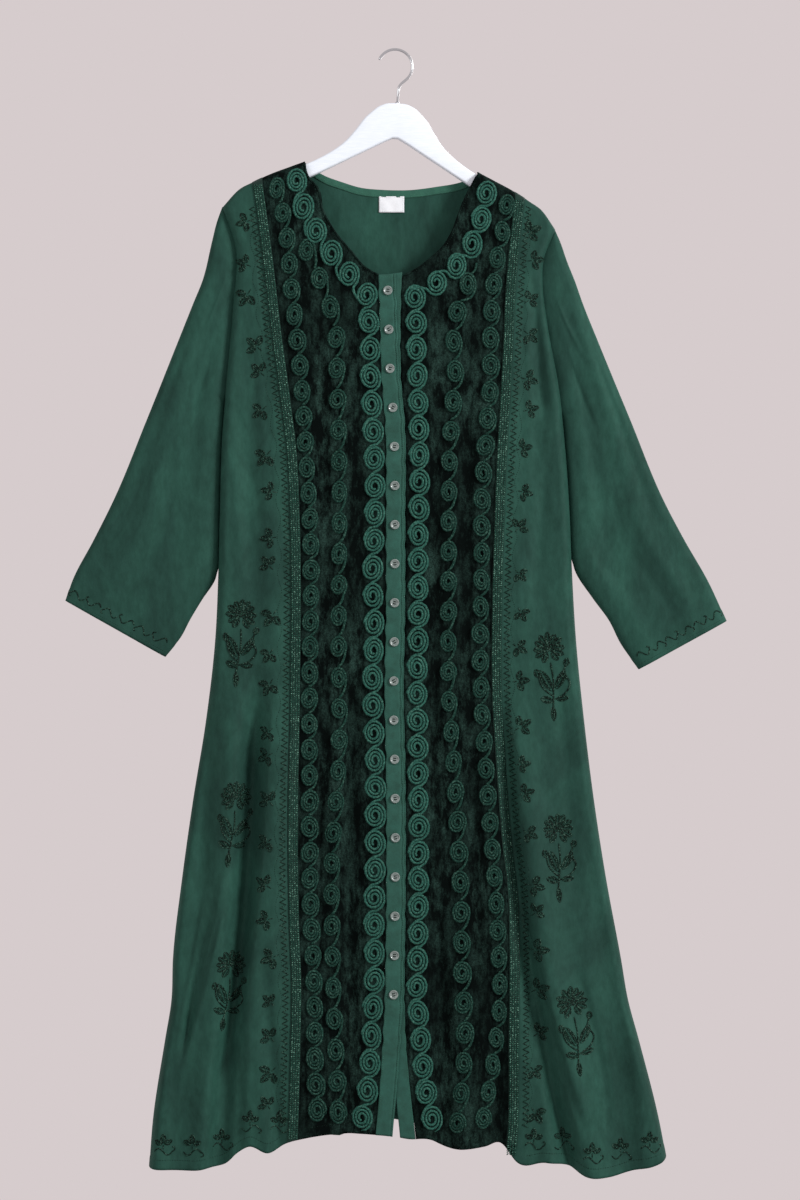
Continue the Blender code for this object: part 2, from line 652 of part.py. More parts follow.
def on_facet(grid, row, left, along, share):
    start, below = grid[row, left], grid[row + 1, left]
    corner, beside = grid[row + 1, left + 1], grid[row, left + 1]
    if along >= share:
        return start + (below - start) * along + (corner - below) * share
    return start + (beside - start) * share + (corner - beside) * along


# The pieces of the garment

def body_pieces(looks):
    """The velvet fronts, side panels and back, and the grids that trim is laid on."""
    side_columns = [0.0, 0.12, 0.3, 0.48, 0.66, 0.84, 1.0, 1 + 1 / 3, 1 + 2 / 3, 2.0]
    velvet_columns = [float(step) for step in range(8)]
    back_columns = [step / 3 for step in range(3)]
    back_columns += [1 + share for share in BACK_SHARES]
    back_columns += [2 + step / 3 for step in range(1, 4)]
    grids = {}
    for name, side in (("left", -1), ("right", 1)):
        velvet = velvet_panel(side)
        outer = velvet.grid(velvet_columns, ROWS, 0.0)
        inner = velvet.grid(velvet_columns, ROWS, -VELVET)
        wall_object("front_velvet_" + name, outer, inner, looks["velvet"])
        panel = side_panel(side)
        side_outer = panel.grid(side_columns, ROWS, 0.0)
        side_inner = panel.grid(side_columns, ROWS, -RAYON)
        wall_object("side_front_" + name, side_outer, side_inner, looks["rayon"])
        grids[name] = (outer, side_outer)
        braid(name, side, outer, side_outer, looks["braid"])
    back = back_panel()
    outer = back.grid(back_columns, ROWS, 0.0)
    inner = back.grid(back_columns, ROWS, -RAYON)
    wall_object("back", outer, inner, looks["rayon"])
    neck_pieces(back, back_columns, inner, looks)
    return grids


def braid(name, side, velvet, panel, look):
    """A flat woven braid over the seam, made from both panels' points."""
    rows = []
    half = BRAID_WIDTH / 2
    for row in range(len(ROWS)):
        seam = (velvet[row, 0] + panel[row, 0]) / 2
        inward = velvet[row, 1] - velvet[row, 0]
        outward = panel[row, 1] - panel[row, 0]
        inward = velvet[row, 0] + inward * min(half / abs(inward[0]), 0.9)
        outward = panel[row, 0] + outward * min(half / abs(outward[0]), 0.9)
        rows.append([inward, seam, outward])
    base = np.array(rows)
    lift = surface_normals(base)
    wall_object("braid_" + name, base + lift * (BRAID_GAP + BRAID_HEIGHT), base + lift * BRAID_GAP, look)


def surface_normals(grid):
    """Directions out of the front, at a grid of points on it."""
    across = np.gradient(grid, axis=1)
    along = np.gradient(grid, axis=0)
    normals = np.cross(across, along)
    normals *= -np.sign(normals[:, :, 1:2])
    return normals / np.linalg.norm(normals, axis=2, keepdims=True)


def cord_column(name, side, line, count, first, last, velvet, look):
    """A column of couched cord spirals as one raised strip that swells at each spiral."""
    tables = {"a": (LEFT_CORD_A, RIGHT_CORD_A), "b": (LEFT_CORD_B, RIGHT_CORD_B)}
    tables["c"] = (LEFT_CORD_C, RIGHT_CORD_C)
    centre = column_curve(tables[line][0 if side < 0 else 1], 1)
    start_column = 1 + 2 * "abc".index(line)
    downs = np.linspace(first, last, 400)
    places = np.array([(centre(down), down) for down in downs])
    lengths = np.concatenate([[0], np.cumsum(np.linalg.norm(np.diff(places, axis=0), axis=1))])
    pitch = lengths[-1] / (count - 1)
    strip = []
    for spiral in range(count):
        stations = [(-DISC_FLANK, 1.0), (DISC_FLANK, 1.0), (0.5, LINK_WIDTH)]
        if spiral == 0:
            stations[0] = (0.0, 1.0)
        if spiral == count - 1:
            stations[-1] = LAST_DISC_END
        for along, width in stations:
            length = (spiral + along) * pitch
            down = float(np.interp(length, lengths, downs)) + max(length - lengths[-1], 0)
            half = DISC_HALF_WIDTH * width
            strip.append((down, start_column + 0.5 - half, start_column + 0.5 + half))
    base = np.array([[facet_point(velvet, column, down) for column in ends] for down, *ends in strip])
    clear = bulges(velvet, strip, base)
    lift = surface_normals(base)
    base = base + lift * (TRIM_GAP + clear)
    wall_object(name, base + lift * TRIM_HEIGHT, base, look)


def bulges(grid, strip, base):
    """How far the panel under a strip swells out past each of the strip's rows."""
    clear = np.zeros((len(strip), 1, 1))
    for index in range(len(strip) - 1):
        for along in (0.25, 0.5, 0.75):
            down, first, last = mix(np.array(strip[index]), np.array(strip[index + 1]), along)
            for across in (0.0, 0.5, 1.0):
                upper = mix(base[index, 0], base[index, 1], across)
                lower = mix(base[index + 1, 0], base[index + 1, 1], across)
                flat = mix(upper, lower, along)
                swell = flat[1] - facet_point(grid, mix(first, last, across), down)[1]
                clear[index] = max(clear[index, 0, 0], swell)
                clear[index + 1] = max(clear[index + 1, 0, 0], swell)
    return clear


def bands(velvet_left, looks):
    """The two placket bands: the over band carries the buttonholes, the under band the buttons."""
    downs = [-point[2] for point in velvet_left[:-1, -1]]
    downs = [PLACKET_TOP] + [down for down in downs if down > PLACKET_TOP + 0.004]
    end = front_hem(0)

    def strip(left, right, lift):
        rows = [[(line(down), down) for line in (left, right)] for down in downs]
        rows.append([(line(end), front_hem(line(end))) for line in (left, right)])
        places = [place for row in rows for place in row]
        points = [(x, -front_depth(x, down) - SEAM_GAP / 2 - lift, -down) for x, down in places]
        return np.array(points).reshape(len(rows), 2, 3)

    under = strip(under_left, under_right, 0.0)
    under_inner = strip(under_left, under_right, -BAND_WALL)
    wall_object("placket_under", under, under_inner, looks["cotton"])
    over = strip(over_left, over_right, TRIM_GAP + BAND_WALL)
    wall_object("placket_over", over, strip(over_left, over_right, TRIM_GAP), looks["cotton"])
    return over


def buttons(over, look):
    """Round shirt buttons down the over band, with a raised rim."""
    radius = BUTTON_RADIUS
    height = BUTTON_HEIGHT
    profile = [(0.0, 0.0), (radius * 0.86, 0.0), (radius, height * 0.45), (radius * 0.86, height)]
    profile += [(radius * 0.62, height * 0.72), (0.0, height * 0.72)]
    for index in range(BUTTON_COUNT):
        down = mix(BUTTON_FIRST, BUTTON_LAST, index / (BUTTON_COUNT - 1))
        seat = facet_point(over, 0.5, down)
        below = facet_point(over, 0.5, down + 0.004)
        beside = facet_point(over, 0.7, down)
        normal = Vector(np.cross(below - seat, beside - seat)).normalized()
        if normal.y > 0:
            normal.negate()
        place = Vector(seat) + normal * TRIM_GAP
        turned = Matrix.Translation(place) @ normal.to_track_quat("Z", "Y").to_matrix().to_4x4()
        name = "button_%02d" % (index + 1)
        piece = turned_piece(name, profile, BUTTON_SIDES, look)
        piece.matrix_world = turned


def turned_piece(name, profile, sides, look):
    """A round piece turned about its own Z axis; the profile starts and ends on the axis."""
    points = [(0.0, 0.0, profile[0][1])]
    for radius, height in profile[1:-1]:
        for step in range(sides):
            angle = 2 * math.pi * step / sides
            points.append((radius * math.cos(angle), radius * math.sin(angle), height))
    points.append((0.0, 0.0, profile[-1][1]))
    last = len(points) - 1
    rings = len(profile) - 2
    faces = []
    for step in range(sides):
        following = (step + 1) % sides
        faces.append((0, 1 + following, 1 + step))
        for ring in range(rings - 1):
            low = 1 + ring * sides
            high = low + sides
            faces.append((low + step, low + following, high + following, high + step))
        top = 1 + (rings - 1) * sides
        faces.append((top + step, top + following, last))
    return add_object(name, points, faces, look)


def neck_pieces(back, columns, inner, looks):
    """The binding inside the back neck edge, and the blank label below it."""
    middle = [index for index, column in enumerate(columns) if 1 <= column <= 2]
    first, last = BACK_NECK[0][0] + NECK_TURN, BACK_NECK[-1][0] - NECK_TURN
    inside = [index for index in middle if first < inner[0, index, 0] < last]
    shift = np.array([0.0, -1.0, 0.0])
    upper = inner[0, inside]
    lower = np.array([facet_point(inner, float(i), -inner[0, i, 2] + BINDING_WIDTH) for i in inside])
    base = np.array([upper, lower]) + shift * TRIM_GAP
    wall_object("back_neck_binding", base + shift * BINDING_WALL, base, looks["cotton"])
    corners = []
    for down in (LABEL["top"], LABEL["bottom"]):
        row = []
        for x in (LABEL["left"], LABEL["right"]):
            spots = [facet_point(inner, i, down) for i in np.linspace(inside[0], inside[-1], 200)]
            spot = min(spots, key=lambda point: abs(point[0] - x))
            row.append((x, spot[1], -down))
        corners.append(row)
    depth = min(corner[1] for row in corners for corner in row)
    base = np.array([[(x, depth - TRIM_GAP, z) for x, _, z in row] for row in corners])
    wall_object("neck_label", base + shift * LABEL["wall"], base, looks["label"])


# The sleeves

class Sleeve:
    """A sleeve cut in one piece and closed by the seam along its inner edge.

    A place across it runs from -1 at the front's inner edge, over 0 at the outer fold,
    to 1 at the back's inner edge. A place along it runs from 0 at the shoulder to 1 at the cuff.
    """

    def __init__(self, side):
        outer = LEFT_SLEEVE_OUTER if side < 0 else RIGHT_SLEEVE_OUTER
        inner = LEFT_SLEEVE_INNER if side < 0 else RIGHT_SLEEVE_INNER
        self.side = side
        self.armhole = left_side if side < 0 else right_side
        self.under = UNDERARM_LEFT if side < 0 else UNDERARM_RIGHT
        self.outer_line = column_curve(outer)
        self.inner_line = column_curve(inner)
        self.outer_start, self.outer_end = outer[0][0], outer[-1][0]
        split = self.under + SPLIT_BELOW_UNDERARM
        self.inner_down = column_curve([
            (0.0, self.outer_start + TIP_EDGE), (UNDERARM_SHARE, self.under), (SPLIT_SHARE, split),
            (1.0, inner[-1][0]),
        ])
        self.depth_line = column_curve(SLEEVE_DEPTH)

    def edges(self, along):
        outer_down = mix(self.outer_start, self.outer_end, along)
        inner_down = self.inner_down(along)
        if inner_down > self.under:
            inner_x = self.inner_line(inner_down)
        else:
            inner_x = self.armhole(inner_down) + self.side * ARMHOLE_GAP
        outer_x = self.outer_line(outer_down) + self.side * TIP_GAP * (1 - ease(along / TIP_SHARE))
        return (outer_x, outer_down), (inner_x, inner_down)

    def point(self, along, across):
        (x0, d0), (x1, d1) = self.edges(along)
        share = abs(across)
        x, down = mix(x0, x1, share), mix(d0, d1, share)
        length = math.hypot(x1 - x0, d1 - d0)
        depth = self.depth_line(along)
        for centre, first, last, width, height in SLEEVE_FOLDS:
            strength = ease((along - first) / 0.25) * ease((last - along) / 0.25)
            depth += height * strength * math.exp(-((share - centre) / width) ** 2)
        if down < self.under:
            crease = ARMHOLE_DEPTH * turn((self.under - down) / ARMHOLE_ROLL)
            reach = abs(x - self.armhole(down)) - ARMHOLE_GAP
            depth = mix(crease, depth, math.sin(min(max(reach / SLEEVE_CREASE, 0), 1) * math.pi / 2))
        else:
            depth *= turn((1 - share) * length / SLEEVE_CREASE)
        depth *= turn(share * length / SLEEVE_ROLL)
        return np.array([x, math.copysign(SEAM_GAP / 2 * share + depth, across), -down])

    def normal(self, along, across):
        """The direction out of the sleeve, read just inside the armhole's edge."""
        if along < UNDERARM_SHARE:
            along = max(along, NORMAL_INSET)
            across = min(max(across, NORMAL_INSET - 1), 1 - NORMAL_INSET)
        low, high = max(along - SMALL_STEP, 0), min(along + SMALL_STEP, 1)
        before, after = across - SMALL_STEP, across + SMALL_STEP
        over_row = self.point(high, across) - self.point(low, across)
        over_column = self.point(along, after) - self.point(along, before)
        normal = np.cross(over_row, over_column) * self.side
        return normal / np.linalg.norm(normal)

    def grid(self, rows, columns, offset):
        return np.array([
            [self.point(along, across) + self.normal(along, across) * offset for across in line]
            for along, line in zip(rows, columns)
        ])


def sleeve(name, side, looks):
    cut = Sleeve(side)
    columns = []
    for along in SLEEVE_ROWS:
        (x0, d0), (x1, d1) = cut.edges(along)
        length = math.hypot(x1 - x0, d1 - d0)
        turned = min(SLEEVE_ROLL / length, 0.30)
        creased = min(SLEEVE_CREASE / length, 0.34)
        half = [turned * (1 - math.cos(step * math.pi / 6)) for step in (1, 2, 3)]
        half += [mix(turned, 1 - creased, step / 4) for step in range(1, 4)]
        half += [1 - creased * (1 - math.cos(step * math.pi / 6)) for step in (3, 2, 1, 0)]
        columns.append([-share for share in half[::-1]] + [0.0] + half)
    outer = cut.grid(SLEEVE_ROWS, columns, 0.0)
    inner = cut.grid(SLEEVE_ROWS, columns, -RAYON)
    wall_object("sleeve_" + name, outer, inner, looks["rayon"])


# The hanger and its hook

def hanger(looks):
    tilt = bpy.data.objects.new("hanger_tilt", None)
    bpy.context.scene.collection.objects.link(tilt)
    tilt.rotation_euler = (0.0, HANGER_TILT, 0.0)
    bpy.context.view_layer.update()

    right = HANGER_TOP + HANGER_UNDER
    left = [(-across, down) for across, down in right[-2:0:-1]]
    outline = [(HANGER_CENTRE + across, -down) for across, down in right + left]
    shape = bmesh.new()
    corners = [shape.verts.new((x, -HANGER_THICKNESS / 2, z)) for x, z in outline]
    face = shape.faces.new(corners)
    grown = bmesh.ops.extrude_face_region(shape, geom=[face])
    moved = [item for item in grown["geom"] if isinstance(item, bmesh.types.BMVert)]
    bmesh.ops.translate(shape, vec=(0, HANGER_THICKNESS, 0), verts=moved)
    bmesh.ops.recalc_face_normals(shape, faces=shape.faces)
    mesh = bpy.data.meshes.new("hanger_wood")
    shape.to_mesh(mesh)
    shape.free()
    mesh.materials.append(looks["wood"])
    wood = bpy.data.objects.new("hanger_wood", mesh)
    bpy.context.scene.collection.objects.link(wood)
    wood.parent = tilt
    rounding = wood.modifiers.new("rounded edges", "BEVEL")
    rounding.width = HANGER_EDGE
    rounding.segments = 2
    rounding.limit_method = "ANGLE"
    rounding.angle_limit = math.radians(60)

    radius = WIRE_RADIUS + BORE_CLEARANCE
    bpy.ops.mesh.primitive_cylinder_add(vertices=BORE_SIDES, radius=radius, depth=BORE_LENGTH)
    bore = bpy.context.object
    bore.name = "stem_bore"
    bottom = HANGER_TOP[0][1] + STEM_DEPTH + BORE_BELOW_STEM
    bore.location = (HANGER_CENTRE, 0, BORE_LENGTH / 2 - bottom)
    bore.parent = tilt
    bore.hide_render = True
    bore.display_type = "WIRE"
    cut = wood.modifiers.new("bore for the hook", "BOOLEAN")
    cut.operation = "DIFFERENCE"
    cut.object = bore

    line = hook_line()
    curve = bpy.data.curves.new("hanger_hook", "CURVE")
    curve.dimensions = "3D"
    curve.bevel_depth = WIRE_RADIUS
    curve.bevel_resolution = 2
    curve.use_fill_caps = True
    spline = curve.splines.new("POLY")
    spline.points.add(len(line) - 1)
    for point, (x, z) in zip(spline.points, line):
        point.co = (x, 0.0, z, 1.0)
    curve.materials.append(looks["chrome"])
    hook = bpy.data.objects.new("hanger_hook", curve)
    bpy.context.scene.collection.objects.link(hook)
    hook.parent = tilt


def hook_line():
    """The wire's centre line in the hanger's plane: round the seat, then down to the stem."""
    inner = HOOK_RADIUS - WIRE_RADIUS
    centre_x = inner * math.sin(HANGER_TILT)
    centre_z = -inner * math.cos(HANGER_TILT)
    line = []
    for step in range(HOOK_STEPS + 1):
        angle = mix(HOOK_TIP_ANGLE, HOOK_END_ANGLE, step / HOOK_STEPS)
        line.append((centre_x + HOOK_RADIUS * math.cos(angle), centre_z + HOOK_RADIUS * math.sin(angle)))
    start = line[-1]
    end = (HANGER_CENTRE, -STEM_TOP)
    lean = (math.sin(HOOK_END_ANGLE), math.cos(HOOK_END_ANGLE))
    first = (start[0] + HOOK_PULL * lean[0], start[1] - HOOK_PULL * lean[1])
    second = (end[0], end[1] + HOOK_PULL)
    for step in range(1, 9):
        t = step / 8
        weights = ((1 - t) ** 3, 3 * t * (1 - t) ** 2, 3 * t * t * (1 - t), t ** 3)
        corners = (start, first, second, end)
        line.append(tuple(sum(w * corner[axis] for w, corner in zip(weights, corners)) for axis in (0, 1)))
    line.append((HANGER_CENTRE, -(HANGER_TOP[0][1] + STEM_DEPTH)))
    return line


def main():
    for item in list(bpy.data.objects):
        bpy.data.objects.remove(item, do_unlink=True)
    looks = {
        "rayon": material("rayon", (0.028, 0.105, 0.078), 0.75),
        "velvet": material("crushed velvet", (0.008, 0.020, 0.016), 0.55),
        "cotton": material("placket cotton", (0.030, 0.135, 0.098), 0.80),
        "braid": material("woven braid", (0.045, 0.150, 0.110), 0.60),
        "cord": material("couched cord", (0.030, 0.125, 0.092), 0.75),
        "button": material("pearly button", (0.62, 0.62, 0.60), 0.25),
        "label": material("woven label", (0.85, 0.86, 0.87), 0.70),
        "wood": material("white painted wood", (0.82, 0.86, 0.90), 0.35),
        "chrome": material("chrome wire", (0.70, 0.72, 0.74), 0.15, 1.0),
    }
    grids = body_pieces(looks)
    for name, side_name, line, count, first, last in CORD_COLUMNS:
        side = -1 if side_name == "left" else 1
        velvet = grids[side_name][0]
        cord_column(name, side, line, count, first, last, velvet, looks["cord"])
    over = bands(grids["left"][0], looks)
    buttons(over, looks["button"])
    sleeve("left", -1, looks)
    sleeve("right", 1, looks)
    hanger(looks)


main()
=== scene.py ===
# A long kaftan hung flat on a white wooden hanger. Its crushed velvet fronts carry columns of
# couched cord spirals; the sides, back and sleeves are plain rayon with dark embroidery.
#
# Metres, in the frame of the solids. The front faces -Y, and "down" is a distance below the
# seat of the hook, so z = -down. Sizes in tables of stitches are in millimetres where they say so.

import math

import bmesh
import bpy
import numpy as np
from mathutils import Matrix, Vector


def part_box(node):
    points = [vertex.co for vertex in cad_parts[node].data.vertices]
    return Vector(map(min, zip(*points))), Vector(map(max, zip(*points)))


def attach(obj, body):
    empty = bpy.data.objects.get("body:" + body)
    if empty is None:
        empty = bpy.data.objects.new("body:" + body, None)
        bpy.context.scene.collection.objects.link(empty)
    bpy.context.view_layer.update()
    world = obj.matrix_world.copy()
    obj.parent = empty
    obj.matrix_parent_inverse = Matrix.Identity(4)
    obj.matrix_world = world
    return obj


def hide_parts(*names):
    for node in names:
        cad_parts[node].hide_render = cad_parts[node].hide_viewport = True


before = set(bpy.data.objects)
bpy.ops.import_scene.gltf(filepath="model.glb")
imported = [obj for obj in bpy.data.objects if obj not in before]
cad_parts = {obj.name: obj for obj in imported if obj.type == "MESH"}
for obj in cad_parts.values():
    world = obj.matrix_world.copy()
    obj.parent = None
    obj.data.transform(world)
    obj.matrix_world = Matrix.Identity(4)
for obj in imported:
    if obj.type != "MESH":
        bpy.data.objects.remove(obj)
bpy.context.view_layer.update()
bpy.context.scene.view_settings.view_transform = "Standard"


# The camera, at the height of the garment's middle

CAMERA_DISTANCE = 4.0
FRAME_HEIGHT = 1.56
FRAME_CENTRE = (0.0065, -0.7176)
GARMENT_FRONT = 0.02

lens = bpy.data.cameras.new("camera")
lens.sensor_width = 36.0
lens.lens = lens.sensor_width * (CAMERA_DISTANCE - GARMENT_FRONT) / FRAME_HEIGHT
camera = bpy.data.objects.new("camera", lens)
camera.location = (FRAME_CENTRE[0], -CAMERA_DISTANCE, FRAME_CENTRE[1])
camera.rotation_euler = (math.pi / 2, 0, 0)
bpy.context.scene.collection.objects.link(camera)
bpy.context.scene.camera = camera


# Sizes of the cloth and the trim

MM = 0.001
RAYON = 1.1 * MM
VELVET = 1.6 * MM
BAND_WALL = 1.1 * MM
SEAM_GAP = 0.3 * MM
BRAID_WIDTH = 13 * MM
SHOULDER_ROLL = 10 * MM
SIDE_ROLL = 12 * MM
ARMHOLE_DEPTH = 4.5 * MM
ARMHOLE_ROLL = 10 * MM
HEM_TURN = 14 * MM
HEM_LIFT = 0.45 * MM
FOLD_START = 0.16
CREASE_START = 0.05
NECK_TURN = 7 * MM
# How far one course of an edge takes to pass into the next
NECK_BLEND = 0.008
SEAM_BLEND = 0.012
UNDERARM_REACH = 0.22
# The step over which a face's slope is measured, and a length that keeps a division safe
FACE_STEP = 0.3 * MM
TINY = 1e-12
# The waves of a crumple, how much longer they are down than across, and their sizes
CRUMPLE_WAVES = 14
CRUMPLE_DOWN = 0.55
VELVET_CRUMPLE = 0.016
SIDE_CRUMPLE = 0.034
BACK_CRUMPLE = 0.036
SLEEVE_CRUMPLE = 0.032

HANGER_TILT = math.radians(4.0)
HANGER_CENTRE = 7.8 * MM
HANGER_THICKNESS = 12 * MM
HANGER_EDGE = 3.2 * MM
CLOTH_OVER_NECK = 4.6 * MM
CLOTH_OVER_END = 3.6 * MM
WIRE_RADIUS = 1.75 * MM
HOOK_RADIUS = 22.5 * MM
HOOK_TIP_ANGLE = math.radians(160.6)
HOOK_END_ANGLE = math.radians(-20.0)
HOOK_PULL = 12 * MM
STEM_TOP = 52 * MM
STEM_END = 80.5 * MM

# Columns: distance from the hanger's middle, distance below the hook's seat
HANGER_TOP = [
    (0.000, 0.0685), (0.012, 0.0695), (0.019, 0.0718), (0.026, 0.0757), (0.034, 0.0830),
    (0.042, 0.0915), (0.052, 0.1065), (0.064, 0.1220), (0.078, 0.1345), (0.095, 0.1460),
    (0.1114, 0.1550), (0.134, 0.1650), (0.158, 0.1755), (0.182, 0.1885), (0.190, 0.1945),
    (0.194, 0.2010),
]
HANGER_UNDER = [
    (0.194, 0.2080), (0.190, 0.2125), (0.182, 0.2115), (0.158, 0.1990), (0.130, 0.1850),
    (0.100, 0.1690), (0.050, 0.1408), (0.010, 0.1182), (0.000, 0.1150),
]
SHOULDER_START = 0.092
ARM_END = 0.185
SHOULDER_END = [(0.198, 0.1950), (0.218, 0.2195)]

UNDERARM_LEFT = 0.455
UNDERARM_RIGHT = 0.475

# Columns: down, x. The armhole as far as the underarm, then the garment's side
LEFT_SIDE = [
    (0.2043, -0.2258), (0.255, -0.209), (0.340, -0.212), (0.430, -0.220), (0.505, -0.226),
    (0.600, -0.229), (0.685, -0.231), (0.770, -0.235), (0.875, -0.247), (0.980, -0.264),
    (1.080, -0.278), (1.185, -0.290), (1.240, -0.292), (1.290, -0.300), (1.395, -0.316),
    (1.460, -0.321),
]
RIGHT_SIDE = [
    (0.2347, 0.2092), (0.275, 0.194), (0.310, 0.193), (0.355, 0.1985), (0.445, 0.2145),
    (0.515, 0.222), (0.600, 0.228), (0.675, 0.231), (0.770, 0.2365), (0.875, 0.247),
    (0.980, 0.260), (1.080, 0.2755), (1.185, 0.295), (1.240, 0.3045), (1.290, 0.318),
    (1.395, 0.3445), (1.450, 0.355),
]
# Columns: down, x. The seam between velvet and side, under the braid
LEFT_SEAM = [
    (0.160, -0.181), (0.270, -0.166), (0.373, -0.154), (0.462, -0.142), (0.524, -0.1345),
    (0.607, -0.1305), (0.848, -0.130), (0.990, -0.1325), (1.150, -0.1305), (1.210, -0.128),
    (1.290, -0.129), (1.405, -0.132), (1.430, -0.133),
]
RIGHT_SEAM = [
    (0.185, 0.1635), (0.275, 0.1535), (0.320, 0.150), (0.380, 0.1475), (0.462, 0.143),
    (0.540, 0.1385), (0.607, 0.136), (0.727, 0.1326), (0.848, 0.1326), (0.924, 0.137),
    (1.036, 0.1455), (1.104, 0.153), (1.147, 0.1542), (1.297, 0.1542), (1.405, 0.1528),
    (1.430, 0.151),
]
# Columns: down, x. The front neck edge, from the shoulder to the placket
LEFT_NECK = [
    (0.145, -0.1180), (0.167, -0.1120), (0.180, -0.1010), (0.211, -0.0930), (0.242, -0.0750),
    (0.2655, -0.0550), (0.287, -0.0350), (0.2965, -0.0180),
]
RIGHT_NECK = [
    (0.161, 0.1080), (0.180, 0.0980), (0.196, 0.0900), (0.215, 0.0825), (0.242, 0.0720),
    (0.260, 0.0600), (0.273, 0.0455), (0.287, 0.0275), (0.2965, 0.0095),
]
NECK_END = LEFT_NECK[-1][0]
PLACKET_TOP = 0.2945
# Columns: x, down. The back neck edge and the two hems
BACK_NECK = [
    (-0.1180, 0.1450), (-0.095, 0.1605), (-0.070, 0.1700), (-0.047, 0.1770), (-0.013, 0.1805),
    (0.020, 0.1805), (0.053, 0.1765), (0.087, 0.1700), (0.1080, 0.1610),
]
FRONT_HEM = [
    (-0.322, 1.455), (-0.246, 1.455), (-0.220, 1.449), (-0.206, 1.436), (-0.190, 1.426),
    (-0.164, 1.434), (-0.139, 1.421), (-0.115, 1.415), (-0.064, 1.409), (-0.025, 1.4105),
    (0.000, 1.413), (0.016, 1.416), (0.046, 1.417), (0.066, 1.427), (0.117, 1.426),
    (0.138, 1.422), (0.158, 1.446), (0.196, 1.446), (0.224, 1.451), (0.247, 1.464),
    (0.276, 1.465), (0.308, 1.457), (0.345, 1.447), (0.356, 1.440),
]
BACK_HEM = [
    (-0.322, 1.455), (-0.246, 1.449), (-0.206, 1.427), (-0.139, 1.415), (-0.085, 1.420),
    (-0.070, 1.420), (-0.050, 1.405), (0.050, 1.408), (0.140, 1.413), (0.165, 1.437),
    (0.250, 1.456), (0.308, 1.451), (0.356, 1.440),
]
# Columns: down, over band's left and right edge, under band's left and right edge
BANDS = [
    (0.2945, -0.0216, 0.0005, -0.0165, 0.0088),
    (0.367, -0.0195, 0.0030, -0.0150, 0.0072),
    (0.433, -0.0172, 0.0058, -0.0130, 0.0082),
    (0.485, -0.0130, 0.0105, -0.0090, 0.0128),
    (0.613, -0.0118, 0.0112, -0.0076, 0.0135),
    (0.740, -0.0118, 0.0112, -0.0076, 0.0132),
    (0.835, -0.0135, 0.0095, -0.0095, 0.0115),
    (0.927, -0.0118, 0.0112, -0.0076, 0.0135),
    (1.060, -0.0110, 0.0122, -0.0070, 0.0142),
    (1.185, -0.0121, 0.0109, -0.0080, 0.0130),
    (1.229, -0.0130, 0.0100, -0.0090, 0.0125),
    (1.300, -0.0165, 0.0062, -0.0040, 0.0150),
    (1.360, -0.0205, 0.0015, 0.0010, 0.0205),
    (1.4105, -0.0250, -0.0030, 0.0062, 0.0262),
    (1.430, -0.0265, -0.0045, 0.0080, 0.0280),
]
VELVET_UNDER_BAND = 3.5 * MM
BUTTON_COUNT = 19
BUTTON_FIRST = 0.315
BUTTON_LAST = 1.229

